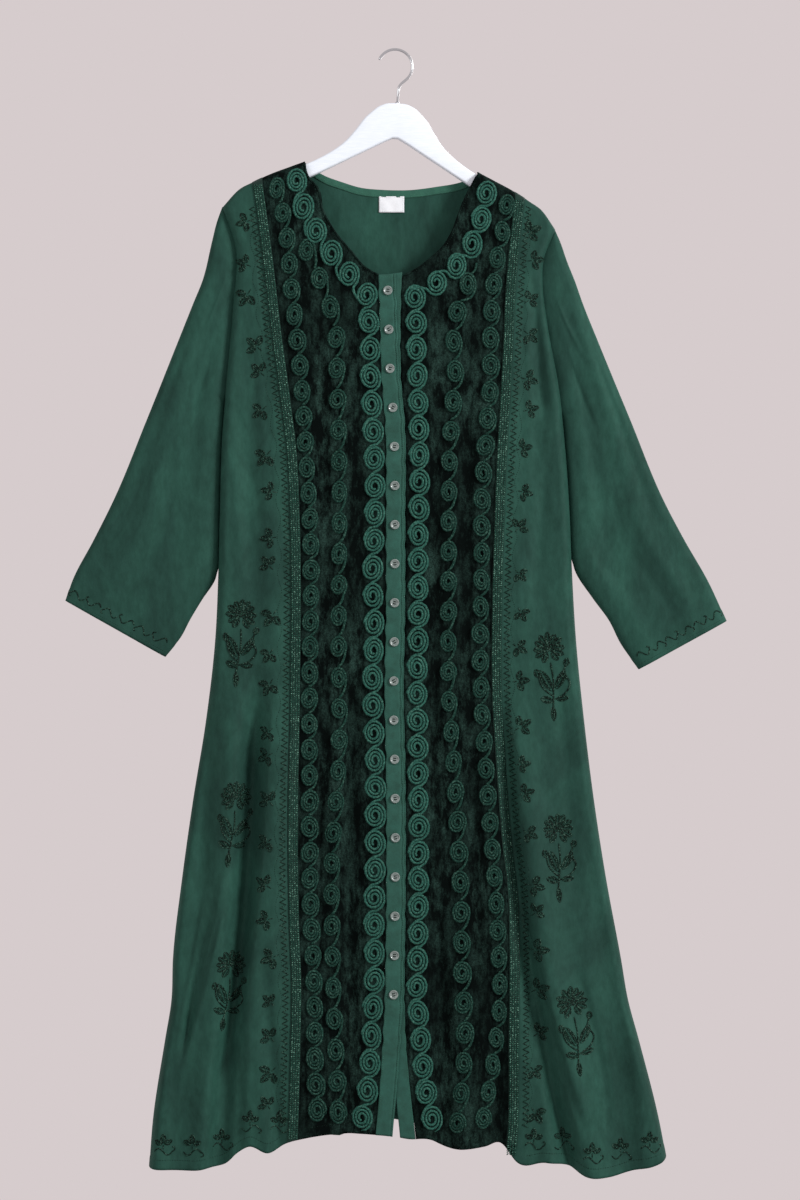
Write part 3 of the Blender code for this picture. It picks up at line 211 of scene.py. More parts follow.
# Columns: down, x, half width. The centre lines of the cord columns, from the seam inwards
CORD_LINES = {
    "left_a": [
        (0.155, -0.1610, 0.0105), (0.234, -0.1430, 0.0108), (0.307, -0.1360, 0.0112),
        (0.417, -0.1240, 0.0112), (0.521, -0.1170, 0.0108), (0.627, -0.1110, 0.0108),
        (0.848, -0.1120, 0.0108), (0.962, -0.1120, 0.0110), (1.096, -0.1110, 0.0112),
        (1.238, -0.1050, 0.0112), (1.326, -0.1040, 0.0120), (1.379, -0.1010, 0.0120),
    ],
    "left_b": [
        (0.229, -0.1280, 0.0030), (0.263, -0.1150, 0.0110), (0.304, -0.0970, 0.0115),
        (0.350, -0.0810, 0.0115), (0.437, -0.0760, 0.0110), (0.566, -0.0730, 0.0105),
        (0.767, -0.0740, 0.0105), (0.928, -0.0740, 0.0105), (1.043, -0.0820, 0.0105),
        (1.170, -0.0820, 0.0105), (1.382, -0.0740, 0.0120),
    ],
    "left_c": [
        (0.145, -0.1345, 0.0120), (0.165, -0.1300, 0.0130), (0.195, -0.1240, 0.0140),
        (0.229, -0.1090, 0.0140), (0.257, -0.0900, 0.0140), (0.287, -0.0680, 0.0140),
        (0.312, -0.0416, 0.0138), (0.352, -0.0350, 0.0138), (0.428, -0.0325, 0.0138),
        (0.543, -0.0273, 0.0138), (0.616, -0.0268, 0.0138), (0.685, -0.0300, 0.0138),
        (0.755, -0.0275, 0.0138), (0.827, -0.0300, 0.0138), (0.927, -0.0264, 0.0138),
        (1.000, -0.0262, 0.0138), (1.113, -0.0273, 0.0138), (1.223, -0.0280, 0.0138),
        (1.295, -0.0318, 0.0138), (1.357, -0.0368, 0.0138), (1.388, -0.0430, 0.0138),
    ],
    "right_a": [
        (0.165, 0.1510, 0.0105), (0.185, 0.1480, 0.0105), (0.2275, 0.1410, 0.0105),
        (0.295, 0.1290, 0.0110), (0.363, 0.1240, 0.0115), (0.434, 0.1235, 0.0115),
        (0.504, 0.1180, 0.0115), (0.575, 0.1130, 0.0112), (0.677, 0.1120, 0.0108),
        (0.7865, 0.1100, 0.0108), (0.858, 0.1120, 0.0108), (0.930, 0.1170, 0.0108),
        (1.000, 0.1220, 0.0108), (1.066, 0.1274, 0.0108), (1.173, 0.1336, 0.0108),
        (1.2415, 0.1350, 0.0105), (1.300, 0.1290, 0.0105), (1.396, 0.1130, 0.0110),
    ],
    "right_b": [
        (0.250, 0.1210, 0.0025), (0.280, 0.1065, 0.0090), (0.307, 0.0944, 0.0115),
        (0.350, 0.0785, 0.0115), (0.428, 0.0775, 0.0112), (0.503, 0.0715, 0.0108),
        (0.581, 0.0694, 0.0105), (0.6955, 0.0690, 0.0105), (0.854, 0.0700, 0.0105),
        (0.931, 0.0754, 0.0110), (1.011, 0.0806, 0.0115), (1.093, 0.0842, 0.0118),
        (1.213, 0.0870, 0.0118), (1.290, 0.0900, 0.0115), (1.360, 0.0850, 0.0110),
        (1.399, 0.0806, 0.0110),
    ],
    "right_c": [
        (0.158, 0.1235, 0.0125), (0.172, 0.1215, 0.0130), (0.185, 0.1190, 0.0135),
        (0.2236, 0.1110, 0.0138), (0.2496, 0.1020, 0.0138), (0.2756, 0.0850, 0.0138),
        (0.300, 0.0605, 0.0138), (0.320, 0.0286, 0.0138), (0.359, 0.0270, 0.0138),
        (0.432, 0.0286, 0.0138), (0.558, 0.0310, 0.0138), (0.659, 0.0294, 0.0138),
        (0.753, 0.0294, 0.0138), (0.824, 0.0280, 0.0138), (0.926, 0.0288, 0.0138),
        (0.9945, 0.0300, 0.0138), (1.152, 0.0290, 0.0138), (1.222, 0.0278, 0.0138),
        (1.291, 0.0325, 0.0138), (1.357, 0.0400, 0.0138), (1.392, 0.0475, 0.0138),
    ],
}
# Columns: column, spirals, down of the first and the last one's centre, the side (-1 left,
# 1 right) on which the cord runs on to the next spiral
CORD_COLUMNS = [
    ("left_a", 37, 0.182, 1.379, 1), ("left_b", 29, 0.263, 1.382, 1),
    ("left_c", 36, 0.172, 1.388, -1), ("right_a", 35, 0.204, 1.390, 1),
    ("right_b", 29, 0.307, 1.396, 1), ("right_c", 37, 0.188, 1.390, -1),
]

# Columns: x and down at the fold's start, middle and end, half width at both ends,
# height out of the panel (a valley's is negative), 1 if it runs out at its lower end
FRONT_FOLDS = [
    (-0.178, 0.78, -0.197, 1.11, -0.232, 1.47, 0.013, 0.017, -0.020, 0),
    (-0.206, 0.78, -0.222, 1.15, -0.246, 1.47, 0.020, 0.024, 0.008, 0),
    (-0.150, 0.85, -0.156, 1.20, -0.166, 1.45, 0.014, 0.017, 0.003, 0),
    (-0.172, 1.12, -0.163, 1.28, -0.149, 1.45, 0.007, 0.010, -0.006, 0),
    (-0.238, 0.80, -0.256, 1.10, -0.276, 1.47, 0.015, 0.022, -0.005, 0),
    (-0.192, 0.30, -0.186, 0.55, -0.192, 0.85, 0.014, 0.018, -0.004, 1),
    (-0.171, 0.40, -0.160, 0.65, -0.160, 0.95, 0.012, 0.014, 0.003, 1),
    (0.137, 0.80, 0.159, 1.10, 0.232, 1.47, 0.010, 0.015, -0.013, 0),
    (0.170, 0.88, 0.198, 1.17, 0.254, 1.47, 0.018, 0.026, 0.009, 0),
    (0.187, 1.15, 0.193, 1.30, 0.206, 1.47, 0.009, 0.014, 0.006, 0),
    (0.245, 1.00, 0.283, 1.25, 0.302, 1.47, 0.018, 0.024, -0.005, 0),
    (0.181, 0.30, 0.188, 0.50, 0.195, 0.80, 0.013, 0.018, -0.004, 1),
    (-0.094, 0.34, -0.093, 0.60, -0.094, 0.90, 0.010, 0.010, -0.003, 1),
    (-0.092, 0.82, -0.096, 1.02, -0.093, 1.24, 0.010, 0.011, -0.007, 1),
    (-0.055, 0.74, -0.060, 1.05, -0.055, 1.34, 0.014, 0.014, -0.008, 1),
    (0.095, 0.36, 0.092, 0.62, 0.093, 0.88, 0.010, 0.010, -0.003, 1),
    (0.050, 1.06, 0.060, 1.25, 0.066, 1.44, 0.011, 0.014, -0.009, 0),
    (0.050, 0.42, 0.050, 0.70, 0.050, 0.98, 0.010, 0.012, -0.003, 1),
    (0.138, 1.16, 0.133, 1.30, 0.130, 1.45, 0.011, 0.015, -0.007, 0),
]
# Columns: x and down at the crest's start, middle and end, width of the slope on its left, of
# the level cloth on its right, height
FRONT_OVERLAPS = [
    (-0.157, 0.82, -0.176, 1.09, -0.213, 1.40, 0.020, 0.034, 0.0110),
    (0.148, 0.82, 0.172, 1.09, 0.250, 1.43, 0.014, 0.030, 0.0070),
    (-0.214, 1.04, -0.248, 1.20, -0.285, 1.38, 0.008, 0.018, 0.0052),
    (-0.240, 1.06, -0.264, 1.20, -0.292, 1.34, 0.006, 0.012, 0.0030),
]
OVERLAP_START = 0.10
OVERLAP_HOLLOW = 1.4
BACK_FOLDS = [
    (-0.205, 0.70, -0.222, 1.10, -0.240, 1.47, 0.018, 0.024, 0.007, 0),
    (-0.150, 0.62, -0.168, 1.05, -0.186, 1.47, 0.016, 0.022, -0.007, 0),
    (-0.070, 0.50, -0.085, 0.95, -0.104, 1.46, 0.018, 0.022, 0.006, 0),
    (0.010, 0.66, 0.004, 1.08, -0.010, 1.46, 0.018, 0.022, -0.006, 0),
    (0.085, 0.55, 0.098, 1.00, 0.116, 1.46, 0.018, 0.023, 0.006, 0),
    (0.160, 0.72, 0.180, 1.10, 0.206, 1.47, 0.016, 0.022, -0.007, 0),
    (0.220, 0.86, 0.246, 1.18, 0.280, 1.47, 0.018, 0.026, 0.006, 0),
]
# The same columns for finer creases
FRONT_CREASES = [
    (-0.221, 1.10, -0.262, 1.22, -0.272, 1.31, 0.006, 0.007, -0.0050, 1),
    (-0.229, 1.12, -0.270, 1.24, -0.281, 1.36, 0.006, 0.008, 0.0034, 1),
    (-0.234, 0.80, -0.245, 0.98, -0.251, 1.12, 0.010, 0.012, -0.0036, 1),
    (-0.205, 0.52, -0.203, 0.68, -0.207, 0.86, 0.008, 0.010, 0.0014, 1),
    (-0.176, 0.24, -0.168, 0.42, -0.157, 0.62, 0.006, 0.007, -0.0014, 1),
    (-0.214, 0.43, -0.200, 0.50, -0.181, 0.60, 0.006, 0.008, -0.0014, 1),
    (-0.218, 0.50, -0.205, 0.60, -0.190, 0.74, 0.007, 0.009, 0.0014, 1),
    (-0.297, 1.26, -0.300, 1.36, -0.306, 1.47, 0.009, 0.012, 0.0037, 0),
    (-0.196, 1.22, -0.199, 1.33, -0.203, 1.45, 0.005, 0.007, -0.0036, 0),
    (-0.228, 1.28, -0.232, 1.37, -0.236, 1.46, 0.006, 0.008, -0.0030, 0),
    (0.187, 1.22, 0.195, 1.31, 0.229, 1.45, 0.005, 0.007, -0.0051, 0),
    (0.210, 0.80, 0.224, 0.95, 0.232, 1.12, 0.010, 0.012, -0.0030, 1),
    (0.196, 0.50, 0.190, 0.60, 0.181, 0.74, 0.007, 0.009, -0.0014, 1),
    (0.206, 0.46, 0.192, 0.54, 0.176, 0.64, 0.006, 0.008, 0.0014, 1),
    (0.168, 0.26, 0.166, 0.42, 0.165, 0.60, 0.006, 0.007, -0.0014, 1),
    (0.230, 1.18, 0.262, 1.30, 0.276, 1.42, 0.007, 0.009, -0.0036, 1),
    (0.300, 1.24, 0.316, 1.34, 0.326, 1.46, 0.010, 0.012, 0.0036, 0),
    (0.182, 0.27, 0.184, 0.36, 0.197, 0.50, 0.008, 0.009, -0.0060, 1),
    (-0.172, 0.95, -0.195, 1.15, -0.233, 1.37, 0.007, 0.008, -0.0040, 1),
    (-0.225, 1.12, -0.254, 1.23, -0.284, 1.33, 0.004, 0.004, -0.0030, 1),
    (-0.219, 1.11, -0.249, 1.23, -0.278, 1.34, 0.004, 0.005, 0.0022, 1),
    (0.149, 0.88, 0.168, 1.12, 0.250, 1.42, 0.005, 0.006, -0.0034, 1),
    (0.166, 1.12, 0.182, 1.22, 0.212, 1.36, 0.004, 0.005, -0.0028, 1),
    (-0.050, 0.36, -0.052, 0.52, -0.049, 0.70, 0.006, 0.006, -0.0012, 1),
    (-0.094, 0.26, -0.092, 0.31, -0.094, 0.40, 0.005, 0.006, -0.0010, 1),
    (0.103, 0.90, 0.104, 1.06, 0.110, 1.24, 0.007, 0.008, -0.0036, 1),
    (0.052, 0.80, 0.050, 0.90, 0.052, 1.04, 0.006, 0.008, -0.0024, 1),
    (-0.050, 1.20, -0.056, 1.30, -0.058, 1.40, 0.007, 0.009, -0.0036, 0),
]
BACK_CREASES = [
    (-0.188, 0.34, -0.176, 0.46, -0.160, 0.62, 0.008, 0.010, -0.0018, 1),
    (0.172, 0.36, 0.160, 0.48, 0.142, 0.66, 0.008, 0.010, -0.0018, 1),
    (-0.060, 0.26, -0.052, 0.40, -0.050, 0.60, 0.010, 0.012, -0.0014, 1),
    (0.048, 0.28, 0.056, 0.44, 0.060, 0.64, 0.010, 0.012, -0.0014, 1),
    (-0.128, 0.78, -0.136, 0.98, -0.150, 1.24, 0.008, 0.010, 0.0020, 1),
    (0.128, 0.86, 0.140, 1.04, 0.152, 1.26, 0.008, 0.010, 0.0020, 1),
    (-0.040, 1.02, -0.048, 1.22, -0.056, 1.44, 0.008, 0.011, -0.0026, 0),
    (0.056, 1.00, 0.060, 1.20, 0.070, 1.44, 0.008, 0.011, -0.0026, 0),
    (-0.270, 1.10, -0.280, 1.26, -0.288, 1.46, 0.010, 0.013, -0.0026, 0),
    (0.272, 1.12, 0.292, 1.28, 0.310, 1.46, 0.010, 0.013, -0.0026, 0),
    (-0.206, 0.50, -0.196, 0.60, -0.182, 0.76, 0.007, 0.009, 0.0016, 1),
    (0.200, 0.52, 0.192, 0.62, 0.178, 0.78, 0.007, 0.009, 0.0016, 1),
]
# Columns: down, depth of the front and of the back from the middle plane
BODY_DEPTH = [
    (0.145, 0.0110, 0.0110), (0.300, 0.0160, 0.0130), (0.500, 0.0185, 0.0140),
    (0.700, 0.0210, 0.0150), (1.000, 0.0270, 0.0180), (1.470, 0.0350, 0.0210),
]

# Columns: down, x. The sleeves' outer edge, and their inner edge beside the body
SLEEVE_EDGES = {
    "left": (
        [
            (0.2043, -0.2258), (0.2236, -0.2327), (0.2496, -0.2392), (0.3016, -0.2520),
            (0.3276, -0.2626), (0.3796, -0.2834), (0.4836, -0.3250), (0.5876, -0.3679),
            (0.6396, -0.3939), (0.6916, -0.4212), (0.7184, -0.4303),
        ],
        [
            (0.455, -0.2225), (0.505, -0.2263), (0.600, -0.2293), (0.672, -0.2313),
            (0.690, -0.2345), (0.7176, -0.2522), (0.7436, -0.2678), (0.7657, -0.2795),
            (0.7917, -0.3003),
        ],
    ),
    "right": (
        [
            (0.2347, 0.2092), (0.2496, 0.2158), (0.2756, 0.2249), (0.3016, 0.2353),
            (0.3276, 0.2444), (0.3796, 0.2652), (0.4836, 0.3080), (0.5876, 0.3510),
            (0.6396, 0.3783), (0.6916, 0.4082), (0.7449, 0.4329),
        ],
        [
            (0.475, 0.2182), (0.515, 0.2223), (0.600, 0.2283), (0.660, 0.2308),
            (0.678, 0.2345), (0.715, 0.2580), (0.7436, 0.2790), (0.775, 0.2950),
            (0.808, 0.3185),
        ],
    ),
}
# Columns: share of the way from shoulder to cuff, half depth
SLEEVE_DEPTH = [(0.0, 0.0100), (0.3, 0.0110), (0.7, 0.0105), (1.0, 0.0095)]
# Columns: place across the sleeve, start and end along it, half width, height
SLEEVE_FOLDS = [
    (0.28, 0.10, 1.10, 0.12, 0.0030),
    (0.62, 0.20, 0.95, 0.10, -0.0025),
    (0.80, 0.45, 1.10, 0.07, 0.0015),
]
# Columns: place across (the front's is negative) and along at both ends, half width, height
SLEEVE_CREASES = [
    (-0.86, 0.16, -0.46, 0.52, 0.045, -0.0016),
    (-0.70, 0.12, -0.34, 0.34, 0.045, 0.0012),
    (-0.92, 0.44, -0.70, 0.86, 0.050, -0.0016),
    (-0.52, 0.56, -0.44, 0.98, 0.050, -0.0014),
    (-0.18, 0.30, -0.14, 0.78, 0.045, -0.0011),
    (-0.34, 0.62, -0.26, 0.96, 0.040, 0.0012),
    (0.84, 0.18, 0.50, 0.56, 0.050, -0.0016),
    (0.60, 0.10, 0.34, 0.40, 0.050, 0.0012),
    (0.88, 0.48, 0.64, 0.92, 0.050, -0.0014),
    (0.30, 0.46, 0.22, 0.94, 0.050, -0.0012),
]
SLEEVE_ROLL = 10 * MM
SLEEVE_CREASE = 25 * MM
ARMHOLE_GAP = -0.5 * MM
SLEEVE_FOLD_ENDS = 0.25
SLEEVE_CREASE_ENDS = 0.10
TIP_EDGE = 14 * MM
UNDERARM_SHARE = 0.41
SPLIT_SHARE = 0.78
SPLIT_BELOW_UNDERARM = 0.222


# Reading the tables

def column_curve(table, column=1):
    """A smooth curve through one of a table's columns, over the table's first column."""
    keys = np.array([row[0] for row in table])
    values = np.array([row[column] for row in table])
    slopes = np.gradient(values, keys)

    def read(key):
        index = np.clip(np.searchsorted(keys, key) - 1, 0, len(keys) - 2)
        span = keys[index + 1] - keys[index]
        share = np.clip((key - keys[index]) / span, 0.0, 1.0)
        rise = share * share * (3 - 2 * share)
        start = share * (1 - share) ** 2 * span * slopes[index]
        end = share * share * (share - 1) * span * slopes[index + 1]
        return values[index] * (1 - rise) + values[index + 1] * rise + start + end

    return read


def mix(first, second, share):
    return first + (second - first) * share


def ease(share):
    share = np.clip(share, 0.0, 1.0)
    return share * share * (3 - 2 * share)


def turn(share):
    """Height of a quarter round edge at a share of its width."""
    share = np.clip(share, 0.0, 1.0)
    return np.sqrt(1 - (1 - share) ** 2)


def drawn(corners, count):
    """A smooth line through corners, as count points."""
    table = [(index, *corner) for index, corner in enumerate(corners)]
    along = np.linspace(0, len(corners) - 1, count)
    axes = range(len(corners[0]))
    return np.stack([column_curve(table, axis + 1)(along) for axis in axes], axis=1)


def bezier(start, first, second, end, count):
    """A curve from start to end, pulled towards two points between them."""
    t = np.linspace(0, 1, count)[:, None]
    corners = (start, first, second, end)
    weights = ((1 - t) ** 3, 3 * t * (1 - t) ** 2, 3 * t * t * (1 - t), t ** 3)
    return sum(weight * corner for weight, corner in zip(weights, corners))


def tilted(across, down):
    """A point of the hanger's own plane, leaned over with the hanger: world x and down."""
    x = across * math.cos(HANGER_TILT) - down * math.sin(HANGER_TILT)
    z = -across * math.sin(HANGER_TILT) - down * math.cos(HANGER_TILT)
    return x, -z


def shoulder_table(side):
    arm = [row for row in HANGER_TOP if SHOULDER_START < row[0] < ARM_END]
    line = []
    for across, down in arm:
        along = (across - arm[0][0]) / (arm[-1][0] - arm[0][0])
        line.append((across, down - mix(CLOTH_OVER_NECK, CLOTH_OVER_END, ease(along))))
    line += SHOULDER_END
    return sorted(tilted(HANGER_CENTRE + side * across, down) for across, down in line)


left_shoulder = column_curve(shoulder_table(-1))
right_shoulder = column_curve(shoulder_table(1))
left_side = column_curve(LEFT_SIDE)
right_side = column_curve(RIGHT_SIDE)
garment_sides = {"left": left_side, "right": right_side}
seams = {"left": column_curve(LEFT_SEAM), "right": column_curve(RIGHT_SEAM)}
left_neck = column_curve(LEFT_NECK)
right_neck = column_curve(RIGHT_NECK)
back_neck = column_curve(BACK_NECK)
front_hem = column_curve(FRONT_HEM)
back_hem = column_curve(BACK_HEM)
front_depth_line = column_curve(BODY_DEPTH, 1)
back_depth_line = column_curve(BODY_DEPTH, 2)
over_left, over_right, under_left, under_right = [column_curve(BANDS, c) for c in (1, 2, 3, 4)]
SIDE = {"left": -1, "right": 1}


def shoulder(x):
    return np.where(x < 0, left_shoulder(x), right_shoulder(x))


def back_top(x):
    """The back's upper edge: the shoulders, and the neck edge between them."""
    in_neck = (x > BACK_NECK[0][0]) & (x < BACK_NECK[-1][0])
    return np.where(in_neck, np.maximum(back_neck(x), shoulder(x)), shoulder(x))


def underarm(x):
    return mix(UNDERARM_LEFT, UNDERARM_RIGHT, ease((x + UNDERARM_REACH) / (2 * UNDERARM_REACH)))


def velvet_edge(side, down):
    """The velvet's inner edge: the neck, and below it the edge under the placket."""
    if side == "left":
        neck, band = left_neck(down), over_left(down) + VELVET_UNDER_BAND
    else:
        neck, band = right_neck(down), under_right(down) + SEAM_GAP
    return mix(neck, band, ease((down - NECK_END + NECK_BLEND / 2) / NECK_BLEND))


# The lie of the cloth

def fold_line(ends, down):
    """A fold's place across the cloth, and the share of its length."""
    x0, d0, x1, d1, x2, d2 = ends
    along = np.clip((down - d0) / (d2 - d0), 0, 1.1)
    bend = (d1 - d0) / (d2 - d0)
    line = mix(x0, x2, along) + (x1 - mix(x0, x2, bend)) * np.sin(np.pi * np.minimum(along, 1))
    return line, along


def overlap_height(x, down):
    """Cloth that rises up a slope to a sharp crest and runs on level beyond it."""
    height = np.zeros(np.broadcast(x, down).shape)
    for *ends, slope, level, rise in FRONT_OVERLAPS:
        line, _ = fold_line(ends, down)
        strength = ease((down - ends[1]) / OVERLAP_START) * ease((ends[5] - down) / OVERLAP_START)
        beside = x - line
        risen = np.clip(1 + beside / slope, 0, 1) ** OVERLAP_HOLLOW
        height += rise * strength * np.where(beside < 0, risen, np.exp(-(beside / level) ** 2))
    return height


def fold_height(folds, x, down, start=FOLD_START):
    """The sum of the folds at each place, outwards from the body."""
    height = np.zeros(np.broadcast(x, down).shape)
    for *ends, width_top, width_end, rise, runs_out in folds:
        d0, d2 = ends[1], ends[5]
        line, along = fold_line(ends, down)
        strength = ease((down - d0) / start)
        if runs_out:
            strength = strength * ease((d2 - down) / start)
        width = mix(width_top, width_end, along)
        height += rise * strength * np.exp(-((x - line) / width) ** 2)
    return height


def crumple(x, down, size, seed):
    """Shallow uneven waves of about one size, between -1 and 1, longer down than across."""
    draw = np.random.default_rng(seed)
    total = np.zeros(np.broadcast(x, down).shape)
    for _ in range(CRUMPLE_WAVES):
        angle, phase = draw.uniform(0, math.tau, 2)
        length = size * draw.uniform(0.6, 1.7)
        way = x * math.cos(angle) + down * CRUMPLE_DOWN * math.sin(angle)
        total += np.sin(way * math.tau / length + phase)
    return total / (CRUMPLE_WAVES / 2)


def over_velvet(x, down):
    """1 on the velvet, 0 on the side panels."""
    reach = np.minimum(x - seams["left"](down), seams["right"](down) - x)
    return ease(reach / SEAM_BLEND)


def front_depth(x, down):
    depth = front_depth_line(down) + fold_height(FRONT_FOLDS, x, down)
    depth += fold_height(FRONT_CREASES, x, down, CREASE_START) + overlap_height(x, down)
    velvet = over_velvet(x, down)
    depth += crumple(x, down, VELVET_CRUMPLE, 3) * 0.4 * MM * velvet
    return depth + crumple(x, down, SIDE_CRUMPLE, 5) * 0.5 * MM * (1 - velvet)


def back_depth(x, down):
    depth = back_depth_line(down) + fold_height(BACK_FOLDS, x, down)
    depth += fold_height(BACK_CREASES, x, down, CREASE_START)
    return depth + crumple(x, down, BACK_CRUMPLE, 8) * 0.5 * MM


def rounded_depth(x, down, depth):
    """The depth where the side and the armhole turn over."""
    rounded = turn(np.minimum(x - left_side(down), right_side(down) - x) / SIDE_ROLL)
    arm = ARMHOLE_DEPTH * turn((underarm(x) - down) / ARMHOLE_ROLL)
    return mix(arm, depth, rounded)


def front_y(x, down):
    over = turn((down - shoulder(x)) / SHOULDER_ROLL)
    return -(SEAM_GAP / 2 + rounded_depth(x, down, front_depth(x, down)) * over)


def back_y(x, down):
    reach = np.minimum(x - BACK_NECK[0][0], BACK_NECK[-1][0] - x)
    over = mix(turn((down - back_top(x)) / SHOULDER_ROLL), 1.0, turn(reach / NECK_TURN))
    return SEAM_GAP / 2 + rounded_depth(x, down, back_depth(x, down)) * over


class Face:
    """The outside of the front or the back, which everything sewn on is laid on."""

    def __init__(self, depth, facing):
        self.depth = depth
        self.facing = facing

    def at(self, x, down, lift=0.0):
        """Points raised off the cloth, and the directions out of it."""
        x, down, lift = np.broadcast_arrays(x, down, lift)
        step = FACE_STEP
        over_x = (self.depth(x + step, down) - self.depth(x - step, down)) / (2 * step)
        over_down = (self.depth(x, down + step) - self.depth(x, down - step)) / (2 * step)
        normal = np.stack([-over_x, np.ones_like(over_x), over_down], axis=-1) * self.facing
        normal /= np.linalg.norm(normal, axis=-1, keepdims=True)
        points = np.stack([x, self.depth(x, down), -down], axis=-1)
        return points + normal * lift[..., None], normal


front = Face(front_y, -1)
back = Face(back_y, 1)


# Making meshes

def new_piece(name, points, faces, finish, node=None):
    """A smooth mesh of corner arrays, one array a kind of face, that rides on the body."""
    mesh = bpy.data.meshes.new(name)
    corners = [corner for group in faces for corner in group.tolist()]
    mesh.from_pydata(points.tolist(), [], corners)
    mesh.materials.append(finish["look"])
    mesh.shade_smooth()
    piece = bpy.data.objects.new(name, mesh)
    bpy.context.scene.collection.objects.link(piece)
    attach(piece, "root")
    if node:
        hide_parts(node)
    return piece


def quads(rows, columns):
    """The faces of a grid of points."""
    first = np.arange(rows - 1)[:, None] * columns + np.arange(columns - 1)[None, :]
    corners = [first, first + columns, first + columns + 1, first + 1]
    return np.stack(corners, axis=-1).reshape(-1, 4)


def cloth(name, outer, inner, finish, node=None):
    """A closed thin shell between two grids of points."""
    rows, columns = outer.shape[:2]
    layer = rows * columns
    skin = quads(rows, columns)
    faces = [skin, skin[:, ::-1] + layer]
    index = np.arange(layer).reshape(rows, columns)
    for rim, way in ((index[0], 1), (index[-1], -1), (index[:, 0], -1), (index[:, -1], 1)):
        rim = rim[::way]
        edge = np.stack([rim[:-1], rim[1:], rim[1:] + layer, rim[:-1] + layer], axis=-1)
        faces.append(edge)
    middle = rows // 2, columns // 2
    down = outer[middle[0] + 1, middle[1]] - outer[middle]
    across = outer[middle[0], middle[1] + 1] - outer[middle]
    if np.dot(np.cross(down, across), outer[middle] - inner[middle]) < 0:
        faces = [group[:, ::-1] for group in faces]
    points = np.concatenate([outer.reshape(-1, 3), inner.reshape(-1, 3)])
    return new_piece(name, points, faces, finish, node)


STITCH_SUNK = 0.3


def unit(vectors):
    return vectors / (np.linalg.norm(vectors, axis=1, keepdims=True) + TINY)


class Skein:
    """Threads, cords and stitches gathered into one mesh."""

    def __init__(self):
        self.points = []
        self.faces = []
        self.count = 0

    def add(self, points, faces):
        self.points.append(points)
        self.faces += [group + self.count for group in faces]
        self.count += len(points)

    def lay(self, path, normals, radius, sides=6, ends=0.35):
        """A round thread along a path, drawn in at both ends."""
        steps = len(path)
        along = unit(np.gradient(path, axis=0))
        beside = unit(np.cross(along, normals))
        above = np.cross(beside, along)
        size = np.full(steps, radius) if np.isscalar(radius) else np.array(radius)
        size[[0, -1]] *= ends
        angle = np.arange(sides) * math.tau / sides
        cos, sin = np.cos(angle)[None, :, None], np.sin(angle)[None, :, None]
        ring = beside[:, None] * cos + above[:, None] * sin
        points = path[:, None] + ring * size[:, None, None]
        index = np.arange(steps * sides).reshape(steps, sides)
        following = np.roll(index, -1, axis=1)
        tube = np.stack([index[:-1], index[1:], following[1:], following[:-1]], axis=-1)
        caps = np.array([index[0], index[-1][::-1]])
        self.add(points.reshape(-1, 3), [tube.reshape(-1, 4), caps])

    def stitches(self, centres, ways, normals, length, width, height):
        """Many short satin stitches, each a spindle lying on the cloth."""
        ways = unit(ways)
        beside = unit(np.cross(ways, normals))
        half = np.broadcast_to(np.asarray(length) / 2, len(centres))[:, None]
        points = np.stack([
            centres - ways * half, centres + ways * half,
            centres + beside * width / 2, centres + normals * height,
            centres - beside * width / 2, centres - normals * height * STITCH_SUNK,
        ], axis=1)
        base = np.arange(len(centres))[:, None] * 6
        shape = []
        for ring in range(4):
            near, far = 2 + ring, 2 + (ring + 1) % 4
            shape += [base + np.array([[1, far, near]]), base + np.array([[0, near, far]])]
        self.add(points.reshape(-1, 3), [np.concatenate(shape)])

    def finish(self, name, look, node=None):
        return new_piece(name, np.concatenate(self.points), self.faces, look, node)


def sewn(skein, face, x, down, radius, sides=4, lift=0.5):
    """A thread sewn on a face along a line of places."""
    points, normals = face.at(x, down, radius * lift)
    skein.lay(points, normals, radius, sides)


# Columns: pitch, length, width and height of the stitches in a row, in millimetres
TOPSTITCH = (2.9, 2.3, 0.7, 0.35)
BUTTONHOLE_STITCH = (1.2, 1.9, 0.9, 0.5)
BRAID_STITCH = (2.7, 4.4, 2.1, 1.2)
FELLING_STITCH = (3.0, 2.2, 0.7, 0.4)
OVERCAST_STITCH = (4.0, 5.0, 0.8, 0.4)
BINDING_STITCH = (2.8, 2.1, 0.7, 0.4)
STEM_STITCH = (2.9, 1.9, 0.9, 0.5)
DASHED_STITCH = (4.2, 2.6, 0.9, 0.5)
HEM_STITCH = (3.2, 2.4, 0.7, 0.4)
STITCH_REACH = 0.5 * MM


def row_of_stitches(skein, face, x, down, stitch, turned=0.0, lift=0.0):
    """Stitches at an even pitch along a line, each turned from the line by an angle."""
    pitch, length, width, height = (size * MM for size in stitch)
    ends = np.concatenate([[0], np.cumsum(np.hypot(np.diff(x), np.diff(down)))])
    at = np.arange(pitch / 2, ends[-1], pitch)
    place_x, place_down = np.interp(at, ends, x), np.interp(at, ends, down)
    before = np.maximum(at - pitch / 4, 0)
    way_x = np.interp(at + pitch / 4, ends, x) - np.interp(before, ends, x)
    way_down = np.interp(at + pitch / 4, ends, down) - np.interp(before, ends, down)
    cos, sin = math.cos(turned), math.sin(turned)
    way_x, way_down = way_x * cos - way_down * sin, way_x * sin + way_down * cos
    size = np.hypot(way_x, way_down) + TINY
    way_x, way_down = way_x / size, way_down / size
    centres, normals = face.at(place_x, place_down, lift)
    ahead_x, ahead_down = place_x + way_x * STITCH_REACH, place_down + way_down * STITCH_REACH
    ahead, _ = face.at(ahead_x, ahead_down, lift)
    skein.stitches(centres, ahead - centres, normals, length, width, height)


# Colours and finishes

